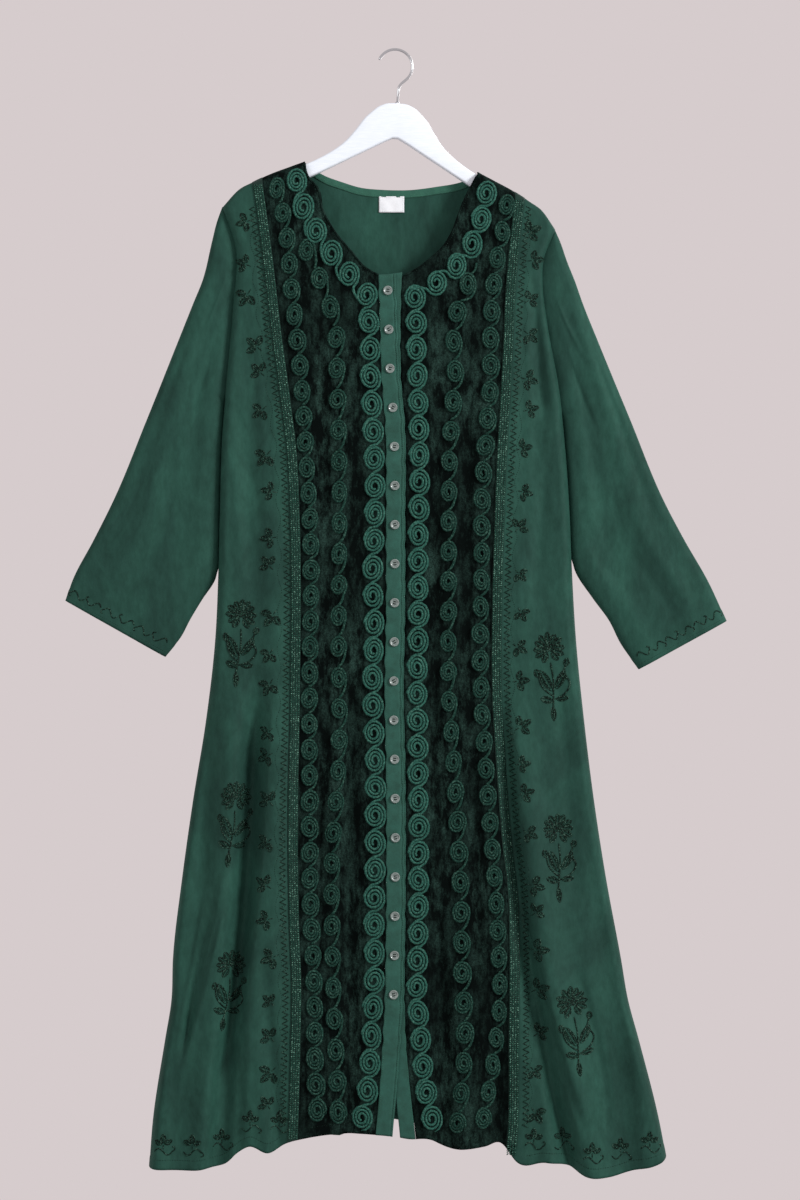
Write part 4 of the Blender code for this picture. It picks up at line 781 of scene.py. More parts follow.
def linear(code):
    """An sRGB hex colour as linear red, green, blue and full alpha."""
    parts = [int(code[place:place + 2], 16) / 255 for place in (1, 3, 5)]
    return (*(part / 12.92 if part <= 0.04045 else ((part + 0.055) / 1.055) ** 2.4
              for part in parts), 1.0)


def per_mm(size):
    """A noise pattern's scale for marks of a size in millimetres."""
    return 1000.0 / size


def per_thread(pitch):
    """A wave pattern's scale for threads at a pitch in millimetres."""
    return math.tau / 20 * 1000.0 / pitch


def add_node(look, kind, inputs=None, **settings):
    """A node with its own settings; an input is set to a value or linked to an output."""
    tree = look.node_tree
    made = tree.nodes.new("ShaderNode" + kind)
    for name, value in settings.items():
        setattr(made, name, value)
    for name, value in (inputs or {}).items():
        if isinstance(value, bpy.types.NodeSocket):
            tree.links.new(value, made.inputs[name])
        else:
            made.inputs[name].default_value = value
    return made


def new_look(name, slot, **sockets):
    """A material whose shader's own sockets are set; returns what a piece is made with."""
    look = bpy.data.materials.new(name)
    look.use_nodes = True
    shader = look.node_tree.nodes["Principled BSDF"]
    for socket, value in sockets.items():
        shader.inputs[socket.replace("_", " ")].default_value = value
    return {"look": look, "slot": slot, "shader": shader}


def join(finish, socket, output):
    finish["look"].node_tree.links.new(output, finish["shader"].inputs[socket])


def on_object(look):
    """A point's own place on the object, where every pattern starts."""
    return add_node(look, "TexCoord").outputs["Object"]


def stretched(look, place, *scale):
    return add_node(look, "Mapping", {"Vector": place, "Scale": scale}).outputs[0]


def cloudy(look, place, size, detail, **more):
    """Noise with marks of a size in millimetres."""
    inputs = {"Vector": place, "Scale": per_mm(size), "Detail": detail, **more}
    return add_node(look, "TexNoise", inputs).outputs[0]


def spread(look, value, low=0.0, high=1.0, start=0.0, end=1.0):
    """What runs from low to high, made to run from start to end."""
    return add_node(look, "MapRange", {
        "Value": value, "From Min": low, "From Max": high, "To Min": start, "To Max": end,
    }).outputs[0]


def times(look, first, second):
    return add_node(look, "Math", {0: first, 1: second}, operation="MULTIPLY").outputs[0]


def dyed(look, share, first, second, way="MIX"):
    """Two colours, hex codes or outputs, mixed by a share."""
    first, second = (linear(one) if isinstance(one, str) else one for one in (first, second))
    return add_node(look, "Mix", {0: share, 6: first, 7: second}, data_type="RGBA",
                    blend_type=way).outputs[2]


def woven(look, place, pitch, more):
    """The height of a plain weave: threads both ways at a pitch in millimetres."""
    warp, weft = (
        add_node(look, "TexWave", {"Vector": place, "Scale": per_thread(pitch), **more},
                 bands_direction=way).outputs[1]
        for way in ("X", "Z")
    )
    return times(look, warp, weft)


def raised(look, height, strength, distance, under=None):
    """A relief of a height in millimetres, laid over another one if there is one under it."""
    inputs = {"Height": height, "Strength": strength, "Distance": distance * MM}
    if under is not None:
        inputs["Normal"] = under
    return add_node(look, "Bump", inputs).outputs[0]


def rayon_crepe():
    """Viscose crepe, dyed in the piece and washed: a soft cloth with cloudy dye and a low
    sheen where it turns. Its threads are 0.3 mm apart and are drawn at 1.0 mm to show."""
    finish = new_look("rayon crepe, piece dyed", "rayon", Roughness=0.7, IOR=1.47,
                      Specular_IOR_Level=0.10, Sheen_Weight=0.03, Sheen_Roughness=0.5,
                      Sheen_Tint=linear("#7FC2A8"))
    look = finish["look"]
    place = on_object(look)
    hung = stretched(look, place, 1.0, 1.0, 0.45)
    cloud = spread(look, cloudy(look, hung, 75, 5.0, Roughness=0.62, Distortion=0.8), 0.36, 0.66)
    mottle = spread(look, cloudy(look, hung, 7, 4.0, Roughness=0.65), 0.3, 0.7)
    dye = dyed(look, cloud, "#203F37", "#295045")
    fleck = dyed(look, mottle, "#DADFDD", "#FFFFFF")
    join(finish, "Base Color", dyed(look, 1.0, dye, fleck, "MULTIPLY"))
    weave = woven(look, place, 1.0, {"Distortion": 0.6, "Detail Scale": 2.0})
    soft = raised(look, cloudy(look, hung, 11, 3.0, Roughness=0.55), 0.5, 1.2)
    join(finish, "Normal", raised(look, weave, 0.35, 0.12, soft))
    return finish


def crushed_velvet():
    """Velvet whose pile was crushed in finishing: dark, with ragged lighter patches 8 to 25 mm
    across painted into the colour as sheen where the pile lies over. The same patches set the
    roughness and a bump."""
    finish = new_look("crushed velvet pile", "velvet", IOR=1.47, Specular_IOR_Level=0.03,
                      Sheen_Weight=0.02, Sheen_Roughness=0.35, Sheen_Tint=linear("#6FA390"))
    look = finish["look"]
    place = on_object(look)
    hung = stretched(look, place, 1.0, 1.0, 0.4)
    pile_lay_and_painted_sheen = spread(look, cloudy(look, hung, 13, 8.0, Roughness=0.72), 0.44, 0.63)
    drift = spread(look, cloudy(look, hung, 60, 2.0), 0.35, 0.6, 0.35, 1.0)
    pile_lay_and_painted_sheen = times(look, pile_lay_and_painted_sheen, drift)
    tuft = spread(look, cloudy(look, place, 2.2, 3.0, Roughness=0.7), 0.34, 0.62, 0.25, 1.0)
    # Painted sheen: the patches lighten the dark pile's colour
    join(finish, "Base Color", dyed(look, times(look, pile_lay_and_painted_sheen, tuft), "#040908", "#29423B"))
    join(finish, "Roughness", spread(look, pile_lay_and_painted_sheen, start=0.8, end=0.55))
    lean = raised(look, pile_lay_and_painted_sheen, 0.6, 0.9)
    join(finish, "Normal", raised(look, tuft, 0.6, 0.35, lean))
    return finish


def woven_cloth(name, slot, dark, light, thread, roughness=0.78, sheen=0.05):
    """A plain woven cloth or tape: two tones of dye, and threads at a pitch in millimetres."""
    finish = new_look(name, slot, Roughness=roughness, IOR=1.5, Specular_IOR_Level=0.2,
                      Sheen_Weight=sheen, Sheen_Roughness=0.5)
    look = finish["look"]
    place = on_object(look)
    cloud = spread(look, cloudy(look, place, 14, 6.0, Roughness=0.7), 0.3, 0.7)
    join(finish, "Base Color", dyed(look, cloud, dark, light))
    weave = woven(look, place, thread, {"Distortion": 0.5})
    join(finish, "Normal", raised(look, weave, 0.4, 0.14))
    return finish


def spun_thread(name, slot, dark, light, fibre, roughness=0.7, sheen=0.05, gloss=0.2,
                painted_ply_light=(0.32, 0.68), painted_glint_share=0.0):
    """A twisted cord or thread: its plies show as small lumps of a size in
    millimetres, as a bump and as colour between dark and light. The light colour is painted
    light on the plies, and its share grows as the two values of the range go down. Pale flecks,
    as far as their share goes, are painted glints of single filaments."""
    finish = new_look(name, slot, Roughness=roughness, IOR=1.5, Specular_IOR_Level=gloss,
                      Sheen_Weight=sheen, Sheen_Roughness=0.4, Sheen_Tint=linear("#8FC4AE"))
    look = finish["look"]
    place = on_object(look)
    ply = spread(look, cloudy(look, place, fibre, 3.0, Roughness=0.6), *painted_ply_light)
    # The plies' lumps set the colour between dark and light: the light is painted light on the
    # plies
    colour = dyed(look, ply, dark, light)
    if painted_glint_share:
        # Painted glints: pale flecks mixed into the colour where single filaments would catch the
        # light
        painted_glint_mask = spread(look, cloudy(look, place, 2.0, 0.0), 0.58, 0.68, end=painted_glint_share)
        colour = dyed(look, painted_glint_mask, colour, "#86BCA6")
    join(finish, "Base Color", colour)
    join(finish, "Normal", raised(look, ply, 0.6, 0.25))
    return finish


def pearly_polyester():
    """Cast polyester turned into shirt buttons: cloudy pearl layers under a polished face."""
    finish = new_look("cast polyester, pearly", "button", Roughness=0.24, IOR=1.56,
                      Coat_Weight=0.4, Coat_Roughness=0.12)
    look = finish["look"]
    cloud = spread(look, cloudy(look, on_object(look), 5, 3.0, Distortion=1.4), 0.3, 0.7)
    join(finish, "Base Color", dyed(look, cloud, "#55625E", "#83908C"))
    return finish


def painted_beech():
    """Beech, sprayed with white satin paint: smooth, with a trace of grain along the arm."""
    finish = new_look("beech, white satin paint", "wood", Roughness=0.36, IOR=1.5)
    look = finish["look"]
    along = stretched(look, on_object(look), 0.12, 1.0, 1.0)
    grain = cloudy(look, along, 1.6, 4.0, Roughness=0.6)
    join(finish, "Base Color", dyed(look, spread(look, grain, 0.3, 0.7), "#D8E2EB", "#E2EAF1"))
    join(finish, "Normal", raised(look, grain, 0.25, 0.15))
    return finish


def chromed_wire():
    """Steel wire, bent and chrome plated: a mirror with faint drawing marks."""
    finish = new_look("steel wire, chrome plated", "chrome", Base_Color=linear("#C9CDD0"),
                      Metallic=1.0)
    look = finish["look"]
    marks = cloudy(look, on_object(look), 1.2, 3.0)
    join(finish, "Roughness", spread(look, marks, start=0.10, end=0.24))
    return finish


rayon = rayon_crepe()
velvet = crushed_velvet()
# Cotton poplin, dyed with the velvet: a close flat weave, drawn at 0.9 mm to show
poplin = woven_cloth("cotton poplin, dyed", "cotton", "#1F4339", "#28554A", 0.9)
# The same cotton cut on the bias for the neck, a little lighter
bias_strip = woven_cloth("cotton bias strip, dyed", "cotton", "#254E42", "#30604F", 0.9)
# Narrow braid: a dull ground, and raised stitches whose pale flecks are painted glints of single
# filaments
braid_ground = woven_cloth("braid ground, woven", "braid", "#0A211B", "#15362D", 1.2)
braid_thread = spun_thread("braid thread, painted glints", "braid", "#0D2620", "#285B4B",
                           1.4, 0.5, 0.0, 0.1, (0.40, 0.66), 0.5)
# Cotton cord, twisted and couched down: soft, lighter than the velvet under it
cotton_cord = spun_thread("cotton cord, couched", "cord", "#112A24", "#2F6457",
                          1.3, 0.75, 0.02, 0.1, painted_glint_share=0.12)
# The same cord in the outer columns, darker
darker_cord = spun_thread("cotton cord, outer columns", "cord", "#081814", "#194036",
                          1.3, 0.75, 0.02, 0.1, painted_glint_share=0.1)
# Rayon embroidery floss, near black green, with painted glints: pale flecks along each stitch
floss = spun_thread("rayon floss, dark", "rayon", "#050B09", "#234A3B", 1.3, 0.5, 0.0, 0.1,
                    (0.46, 0.72), 0.15)
# Polyester sewing thread, a shade lighter than the cloth that it holds
sewing_thread = spun_thread("polyester sewing thread", "cotton", "#24503F", "#3F7563", 2.0, 0.5)
button_thread = spun_thread("polyester button thread", "cotton", "#101C18", "#22352E", 1.0, 0.6)
# Satin label tape, white: smooth, close woven, drawn at 0.8 mm to show
label_tape = woven_cloth("satin label tape", "label", "#D3D8DC", "#E2E6E9", 0.8, 0.42, 0.03)
pearl = pearly_polyester()
white_beech = painted_beech()
chrome = chromed_wire()


# The body of the garment

ROLL_POINTS = 8
# Distances below a top edge, closer together where the shoulder rolls over
ROLL_STEPS = SHOULDER_ROLL * (1 - np.cos(np.linspace(0, math.pi / 2, ROLL_POINTS)))
TOP_GUESS = 0.17
HEM_GUESS = 1.43
SETTLING = 8
HEM_STEP = 1.5 * MM
# Columns and rows of the cloth's grids
VELVET_GRID = (44, 400)
SIDE_GRID = (72, 350)
BACK_GRID = (92, 236)


def panel_places(left, right, top, hem, grid, roll_left=0.0, roll_right=0.0):
    """Places x and down of a panel's grid: columns across from edge to edge, closer together
    where a side rolls over, and rows from the top edge to the hem."""
    columns, rows = grid
    bend = np.cos(np.linspace(0, math.pi / 2, ROLL_POINTS))[:-1]
    shares = [np.linspace(0, 1, columns)]
    offsets = [np.zeros(columns)]
    if roll_left:
        shares.insert(0, np.zeros(len(bend)))
        offsets.insert(0, -roll_left * bend)
    if roll_right:
        shares.append(np.ones(len(bend)))
        offsets.append(roll_right * bend[::-1])
    share, offset = np.concatenate(shares), np.concatenate(offsets)

    def across(down):
        return mix(left(down) + roll_left, right(down) - roll_right, share) + offset

    start, end = np.full(len(share), TOP_GUESS), np.full(len(share), HEM_GUESS)
    for _ in range(SETTLING):
        start, end = top(across(start)), hem(across(end))
    rest = np.linspace(0, 1, rows)[1:]
    down = np.concatenate([
        start + ROLL_STEPS[:, None], mix(start + SHOULDER_ROLL, end, rest[:, None]),
    ])
    x = np.stack([across(line) for line in down])
    return x, down, end


def panel(name, face, places, wall, finish, node):
    """A cloth panel with its hem turned up inside, which shows as a low step."""
    x, down, end = places
    step = HEM_LIFT * ease((down - (end - HEM_TURN)) / HEM_STEP)
    outer, _ = face.at(x, down, step)
    inner, _ = face.at(x, down, -wall)
    return cloth(name, outer, inner, finish, node)


def seam_edge(side, way):
    """The edge of a panel beside the seam; way is 1 outside it and -1 on the velvet's side."""
    gap = SIDE[side] * way * SEAM_GAP / 2
    return lambda down: seams[side](down) + gap


def velvet_front(side):
    edges = [seam_edge(side, -1), lambda down: velvet_edge(side, down)]
    if side == "right":
        edges.reverse()
    places = panel_places(*edges, shoulder, front_hem, VELVET_GRID)
    return panel("crushed_velvet_front_" + side, front, places, VELVET, velvet,
                 "front_velvet_" + side)


def rayon_side(side):
    edges, rolls = [garment_sides[side], seam_edge(side, 1)], [SIDE_ROLL, 0.0]
    if side == "right":
        edges.reverse()
        rolls.reverse()
    places = panel_places(*edges, shoulder, front_hem, SIDE_GRID, *rolls)
    return panel("rayon_side_" + side, front, places, RAYON, rayon, "side_front_" + side)


def rayon_back():
    places = panel_places(left_side, right_side, back_top, back_hem, BACK_GRID,
                          SIDE_ROLL, SIDE_ROLL)
    return panel("rayon_back", back, places, RAYON, rayon, "back")


velvets = {side: velvet_front(side) for side in SIDE}
sides = {side: rayon_side(side) for side in SIDE}
back_piece = rayon_back()


# The sleeves

LEAVING_BODY = 0.012
CUFF_TURN = 0.972
CUFF_STEP = 0.003
# The sleeve's slope is measured off its tip and its seam, where its faces meet
NEAR_TIP = 0.03
NEAR_SEAM = 0.97
SHARE_STEP = 1e-3
# Rows of the grid over the shoulder and below it, columns on the level part of each half
TOP_SHARE = 0.06
TOP_ROWS = 10
SLEEVE_ROWS = 150
LEVEL_COLUMNS = 26
# The widest shares of a sleeve's half that its fold and its crease may take up
WIDEST_ROLL = 0.30
WIDEST_CREASE = 0.34


class SleeveCut:
    """A sleeve cut in one piece and closed by the seam along its inner edge. A place across
    it runs from -1 at the front's inner edge, over 0 at the outer fold, to 1 at the back's;
    a place along it from 0 at the shoulder to 1 at the cuff."""

    def __init__(self, name):
        outer, inner = SLEEVE_EDGES[name]
        self.side = SIDE[name]
        self.armhole = garment_sides[name]
        self.under = UNDERARM_LEFT if name == "left" else UNDERARM_RIGHT
        self.outer_line = column_curve(outer)
        self.inner_line = column_curve(inner)
        self.leaves = inner[3][0]
        self.outer_start, self.outer_end = outer[0][0], outer[-1][0]
        self.inner_down = column_curve([
            (0.0, self.outer_start + TIP_EDGE), (UNDERARM_SHARE, self.under),
            (SPLIT_SHARE, self.under + SPLIT_BELOW_UNDERARM), (1.0, inner[-1][0]),
        ])
        self.depth_line = column_curve(SLEEVE_DEPTH)

    def places(self, along, across):
        """World x and down, the sleeve's width and the half depth, before any thickness."""
        outer_down = mix(self.outer_start, self.outer_end, along)
        inner_down = self.inner_down(along)
        at_body = self.armhole(inner_down) + self.side * ARMHOLE_GAP
        leaving = ease((inner_down - self.leaves) / LEAVING_BODY)
        inner_x = mix(at_body, self.inner_line(inner_down), leaving)
        outer_x = self.outer_line(outer_down)
        share = np.abs(across)
        x, down = mix(outer_x, inner_x, share), mix(outer_down, inner_down, share)
        length = np.hypot(inner_x - outer_x, inner_down - outer_down)
        return x, down, length, share

    def point(self, along, across):
        x, down, length, share = self.places(along, across)
        depth = self.depth_line(along)
        for centre, first, last, width, height in SLEEVE_FOLDS:
            strength = (ease((along - first) / SLEEVE_FOLD_ENDS)
                        * ease((last - along) / SLEEVE_FOLD_ENDS))
            depth = depth + height * strength * np.exp(-((share - centre) / width) ** 2)
        for place0, start, place1, end, width, height in SLEEVE_CREASES:
            line = mix(place0, place1, np.clip((along - start) / (end - start), 0, 1))
            strength = (ease((along - start) / SLEEVE_CREASE_ENDS)
                        * ease((end - along) / SLEEVE_CREASE_ENDS))
            depth = depth + height * strength * np.exp(-((across - line) / width) ** 2)
        depth = depth + crumple(x + across * 0.01, down, SLEEVE_CRUMPLE, 21) * 0.5 * MM
        crease = ARMHOLE_DEPTH * turn((self.under - down) / ARMHOLE_ROLL)
        reach = self.side * (x - self.armhole(down)) - ARMHOLE_GAP
        risen = np.sin(np.clip(reach / SLEEVE_CREASE, 0, 1) * math.pi / 2)
        beside_body = mix(crease, depth, risen)
        free = depth * turn((1 - share) * length / SLEEVE_CREASE)
        depth = np.where(down < self.under, beside_body, free)
        depth = depth * turn(share * length / SLEEVE_ROLL)
        y = np.where(across < 0, -1.0, 1.0) * (SEAM_GAP / 2 * share + depth)
        return np.stack([x, y, -down], axis=-1)

    def at(self, along, across, lift=0.0):
        """Points raised off the sleeve, and the directions out of it."""
        along, across, lift = np.broadcast_arrays(along, across, lift)
        beside_body = along < UNDERARM_SHARE
        near = np.where(beside_body, np.clip(across, -NEAR_SEAM, NEAR_SEAM), across)
        row = np.where(beside_body, np.maximum(along, NEAR_TIP), along)
        step = SHARE_STEP
        low, high = np.maximum(row - step, 0), np.minimum(row + step, 1)
        over_row = self.point(high, near) - self.point(low, near)
        over_column = self.point(row, near + step) - self.point(row, near - step)
        normal = np.cross(over_row, over_column) * self.side
        normal /= np.linalg.norm(normal, axis=-1, keepdims=True) + 1e-15
        return self.point(along, across) + normal * lift[..., None], normal


def sleeve(name):
    cut = SleeveCut(name)
    along = np.concatenate([
        np.linspace(0, TOP_SHARE, TOP_ROWS)[:-1], np.linspace(TOP_SHARE, 1, SLEEVE_ROWS),
    ])
    half = []
    for row in along:
        _, _, length, _ = cut.places(row, 0.0)
        turned = min(SLEEVE_ROLL / length, WIDEST_ROLL)
        creased = min(SLEEVE_CREASE / length, WIDEST_CREASE)
        bend = np.linspace(0, math.pi / 2, ROLL_POINTS)
        half.append(np.concatenate([
            turned * (1 - np.cos(bend))[1:],
            mix(turned, 1 - creased, np.linspace(0, 1, LEVEL_COLUMNS))[1:],
            1 - creased * (1 - np.cos(bend[::-1]))[1:],
        ]))
    half = np.array(half)
    across = np.concatenate([-half[:, ::-1], np.zeros((len(along), 1)), half], axis=1)
    rows = along[:, None] * np.ones_like(across)
    cuff = HEM_LIFT * ease((rows - CUFF_TURN) / CUFF_STEP)
    outer, _ = cut.at(rows, across, cuff)
    inner, _ = cut.at(rows, across, -RAYON)
    return cut, cloth("rayon_sleeve_" + name, outer, inner, rayon, "sleeve_" + name)


sleeves = {side: sleeve(side) for side in SIDE}


# The braids over the seams

BRAID_LIFT = 1.0 * MM
BRAID_BODY = 0.7 * MM
BRAID_RISE = 10 * MM
BRAID_END = 1.425
BRAID_OFF_HEM = 0.0005
BRAID_AT_TOP = 0.3
BRAID_POINTS = 420
STITCHED_FROM_TOP = 0.008
STITCHED_OFF_HEM = 0.003
# Columns: place across the braid, slant of the stitches there
BRAID_ROWS = [(-0.36, 0.8), (-0.12, -0.8), (0.12, 0.8), (0.36, -0.8)]


def braid(side):
    """A flat braid: a woven ribbon with four rows of slanted stitches on it."""
    seam = seams[side]
    top = shoulder(seam(TOP_GUESS))
    for _ in range(4):
        top = shoulder(seam(top))
    down = np.concatenate([
        top + ROLL_STEPS, np.linspace(top + SHOULDER_ROLL, BRAID_END, BRAID_POINTS)[1:],
    ])
    share = np.linspace(-0.5, 0.5, 7)
    x = seam(down)[:, None] + share[None, :] * BRAID_WIDTH
    near_top = 1 - ease((down[:, None] - top) / BRAID_RISE)
    down = down[:, None] + (shoulder(x) - top) * near_top
    down = np.minimum(down, front_hem(x[-1]) - BRAID_OFF_HEM)
    rise = BRAID_AT_TOP + (1 - BRAID_AT_TOP) * (1 - near_top)
    body = BRAID_LIFT + BRAID_BODY * (1 - (share[None, :] * 1.7) ** 4)
    outer, _ = front.at(x, down, rise * body)
    inner, _ = front.at(x, down, rise * BRAID_LIFT * 0.3)
    ribbon = cloth("braid_ribbon_" + side, outer, inner, braid_ground, "braid_" + side)
    work = Skein()
    line = np.linspace(float(top) + STITCHED_FROM_TOP,
                       float(front_hem(seam(1.42))) - STITCHED_OFF_HEM, 500)
    for place, slant in BRAID_ROWS:
        row_of_stitches(work, front, seam(line) + place * BRAID_WIDTH, line, BRAID_STITCH,
                        slant, BRAID_LIFT + BRAID_BODY * 0.8)
    stitches = work.finish("braid_stitches_" + side, braid_thread)
    return ribbon, stitches


# The couched cord spirals

CORD_RADIUS = 1.75 * MM
SPIRAL_TURNS = 3.0
SPIRAL_WIDTH = 1.14
SPIRAL_TALLER = 4.2 * MM
SPIRAL_CENTRE = 0.2
TURN_STEPS = 14
CORD_LIFT = 1.2 * MM
# How far the way on to the next spiral bulges, as a share of the spirals' pitch
LINK_PULL = 0.16
SPIRAL_WOBBLE = 0.03
PLY_HEIGHT = 0.10
PLY_TURN = 2.1
# How unevenly the spirals were wound: ranges of their width, height, turns, angle and lean
WIDTH_RANGE = (0.95, 1.03)
HEIGHT_RANGE = (0.96, 1.03)
TURNS_RANGE = (-0.15, 0.15)
ANGLE_RANGE = (-0.15, 0.15)
LEAN_RANGE = (-0.08, 0.08)
CORD_OFF_HEM = 0.003
CORD_OFF_SHOULDER = 0.002
# Columns: x, down. The loose end above the column right_b
LOOSE_END = [(0.0975, 0.2945), (0.1040, 0.2885), (0.1062, 0.2790)]
# Where the cord leaves a spiral's winding (an angle), where it meets the next spiral (in half
# widths and heights from its centre) and which way it goes there: across and along the column.
# The cord runs on over the top of the next spiral, or in the columns beside the placket along
# its left side.
OVER_THE_TOP = (math.radians(30), (-0.10, -1.0), (-1.0, 0.35))
ALONG_THE_LEFT = (math.radians(92), (-0.88, 0.02), (0.1, 1.0))


def cord_column(name, count, first, last, link_side):
    """One length of cord after another: wound clockwise from the middle of a spiral
    outwards, then on to the next one."""
    leave, meet, enter = OVER_THE_TOP if link_side > 0 else ALONG_THE_LEFT
    line = CORD_LINES[name]
    centre, half = column_curve(line, 1), column_curve(line, 2)
    downs = np.linspace(first, last, 400)
    lengths = np.concatenate([[0], np.cumsum(np.hypot(np.diff(centre(downs)), np.diff(downs)))])
    pitch = lengths[-1] / (count - 1)
    at = np.interp(np.arange(count) * pitch, lengths, downs)
    draw = np.random.default_rng(sum(map(ord, name)))
    cords = Skein()
    for index, down in enumerate(at):
        x = float(centre(down))
        wide = float(half(down)) * SPIRAL_WIDTH * draw.uniform(*WIDTH_RANGE) - CORD_RADIUS
        tall = (SPIRAL_TALLER + float(half(down))) * draw.uniform(*HEIGHT_RANGE)
        turns = SPIRAL_TURNS + draw.uniform(*TURNS_RANGE)
        steps = int(turns * TURN_STEPS)
        ahead = at[min(index + 1, count - 1)]
        behind = at[min(index, count - 2)]
        run = np.array([float(centre(ahead) - centre(behind)), ahead - behind])
        run /= np.hypot(*run)
        beside = np.array([run[1], -run[0]])
        end_angle = leave + math.atan2(-run[0], run[1]) + draw.uniform(*ANGLE_RANGE)
        angle = end_angle - math.tau * turns * (1 - np.linspace(0, 1, steps))
        grow = np.linspace(SPIRAL_CENTRE, 1.0, steps)
        wobble = 1 + SPIRAL_WOBBLE * np.sin(angle * 2 + draw.uniform(0, math.tau))
        place_down = tall * grow * np.sin(angle) * wobble
        lean = draw.uniform(*LEAN_RANGE)
        place_x = x + wide * grow * np.cos(angle) * wobble + lean * place_down
        place_down = down + place_down
        if index < count - 1:
            end = np.array([place_x[-1], place_down[-1]])
            away = end - np.array([place_x[-2], place_down[-2]])
            away = away / np.hypot(*away) * pitch * LINK_PULL
            following = np.array([float(centre(at[index + 1])), at[index + 1]])
            goal = following + beside * wide * meet[0] + run * tall * meet[1]
            into = (beside * enter[0] + run * enter[1]) * pitch * LINK_PULL
            link = bezier(end, end + away, goal - into, goal, 10)
            place_x = np.concatenate([place_x, link[1:, 0]])
            place_down = np.concatenate([place_down, link[1:, 1]])
        lowest = front_hem(place_x) - CORD_OFF_HEM
        highest = shoulder(place_x) + CORD_OFF_SHOULDER
        place_down = np.clip(place_down, highest, lowest)
        points, normals = front.at(place_x, place_down, CORD_LIFT)
        plies = 1 + PLY_HEIGHT * np.sin(np.arange(len(points)) * PLY_TURN)
        cords.lay(points, normals, CORD_RADIUS * plies)
    if name == "right_b":
        loose = drawn(LOOSE_END, 8)
        points, normals = front.at(loose[:, 0], loose[:, 1], CORD_LIFT)
        cords.lay(points, normals, CORD_RADIUS * 0.9, ends=0.9)
    dyed = cotton_cord if name.endswith("_c") else darker_cord
    return cords.finish("cord_spirals_" + name, dyed, "cord_" + name)


braids = {side: braid(side) for side in SIDE}
spirals = {column[0]: cord_column(*column) for column in CORD_COLUMNS}


# The placket and its buttons

BAND_LIFT = 0.5 * MM
BAND_STEP = 1.8 * MM
PUCKER = 0.8 * MM
BAND_END = 1.41
BAND_GROOVE = 0.86
GROOVE_WIDTH = 0.03
BAND_SWAY = 0.5 * MM
BAND_EDGE = 0.35 * MM
EDGE_SHARE = 0.08
BAND_ROWS = 330
# Places across a band, closer together at its edges and at its groove
BAND_SHARES = np.array([0, 0.03, 0.08, 0.25, 0.5, 0.72, 0.80, 0.83, 0.86, 0.89, 0.92, 0.97, 1])

button_downs = np.linspace(BUTTON_FIRST, BUTTON_LAST, BUTTON_COUNT)


class Band:
    """One placket band, lying on the front's middle; across runs from 0 to 1."""

    def __init__(self, left, right, lift, puckered):
        self.left, self.right = left, right
        self.lift = lift
        self.puckered = puckered

    def depth(self, x, down):
        depth = SEAM_GAP / 2 + front_depth(x, down) + self.lift
        if self.puckered:
            pitch = (BUTTON_LAST - BUTTON_FIRST) / (BUTTON_COUNT - 1)
            wave = np.cos((down - BUTTON_FIRST) / pitch * math.tau)
            depth = depth - PUCKER * wave * ease((1.30 - down) / 0.05)
        return -depth

    def across(self, down, share):
        return mix(self.left(down), self.right(down), share)

    def face(self):
        return Face(self.depth, -1)


over_band = Band(over_left, over_right, BAND_LIFT + BAND_STEP, True)
under_band = Band(under_left, under_right, 0.0, False)


def band(name, strip, node, rise, groove=0.0):
    """A band from the neck to the hem; its top slopes up to the right by a rise. A pressed
    groove runs down beside its right edge."""
    rows = np.linspace(0, 1, BAND_ROWS)
    share = BAND_SHARES
    hem = front_hem(strip.across(BAND_END, share))
    down = mix(PLACKET_TOP - rise * share[None, :], hem[None, :], rows[:, None])
    sway = BAND_SWAY * (np.sin(down * 171 + 1) + np.sin(down * 289)) * ease((1.38 - down) / 0.1)
    x = strip.across(down, share[None, :]) + sway
    edge = BAND_EDGE * (1 - turn(np.minimum(share, 1 - share) / EDGE_SHARE))
    edge = edge + groove * np.exp(-((share - BAND_GROOVE) / GROOVE_WIDTH) ** 2)
    face = strip.face()
    outer, _ = face.at(x, down, -edge[None, :])
    inner, _ = face.at(x, down, -BAND_WALL)
    return cloth(name, outer, inner, poplin, node)


over_piece = band("placket_over_band", over_band, "placket_over", 1.0 * MM, 0.9 * MM)
under_piece = band("placket_under_band", under_band, "placket_under", 3.5 * MM)


# Places across the bands of their topstitching, and half a buttonhole's length and width
OVER_STITCHED = (0.085, 0.915)
UNDER_STITCHED = 0.93
BUTTONHOLE_REACH = 8.5 * MM
BUTTONHOLE_SIDE = 1.1 * MM


def band_sewing():
    """Topstitching near both edges and the top of the over band and near the right edge of
    the under band, and a buttonhole worked round each button's slit."""
    work = Skein()
    over, under = over_band.face(), under_band.face()
    down = np.linspace(PLACKET_TOP + 0.004, 1.402, 400)
    for share in OVER_STITCHED:
        row_of_stitches(work, over, over_band.across(down, share), down, TOPSTITCH)
    row_of_stitches(work, under, under_band.across(down, UNDER_STITCHED), down, TOPSTITCH)
    top = np.full(30, PLACKET_TOP + 0.003)
    row_of_stitches(work, over, over_band.across(top, np.linspace(0.06, 0.94, 30)), top, TOPSTITCH)
    for place in button_downs:
        middle = float(over_band.across(place, 0.5))
        slit = np.linspace(place - BUTTONHOLE_REACH, place + BUTTONHOLE_REACH, 20)
        for offset in (-BUTTONHOLE_SIDE, BUTTONHOLE_SIDE):
            row_of_stitches(work, over, np.full(20, middle + offset), slit, BUTTONHOLE_STITCH,
                            math.pi / 2)
    return work.finish("placket_sewing", sewing_thread)


placket_sewing = band_sewing()


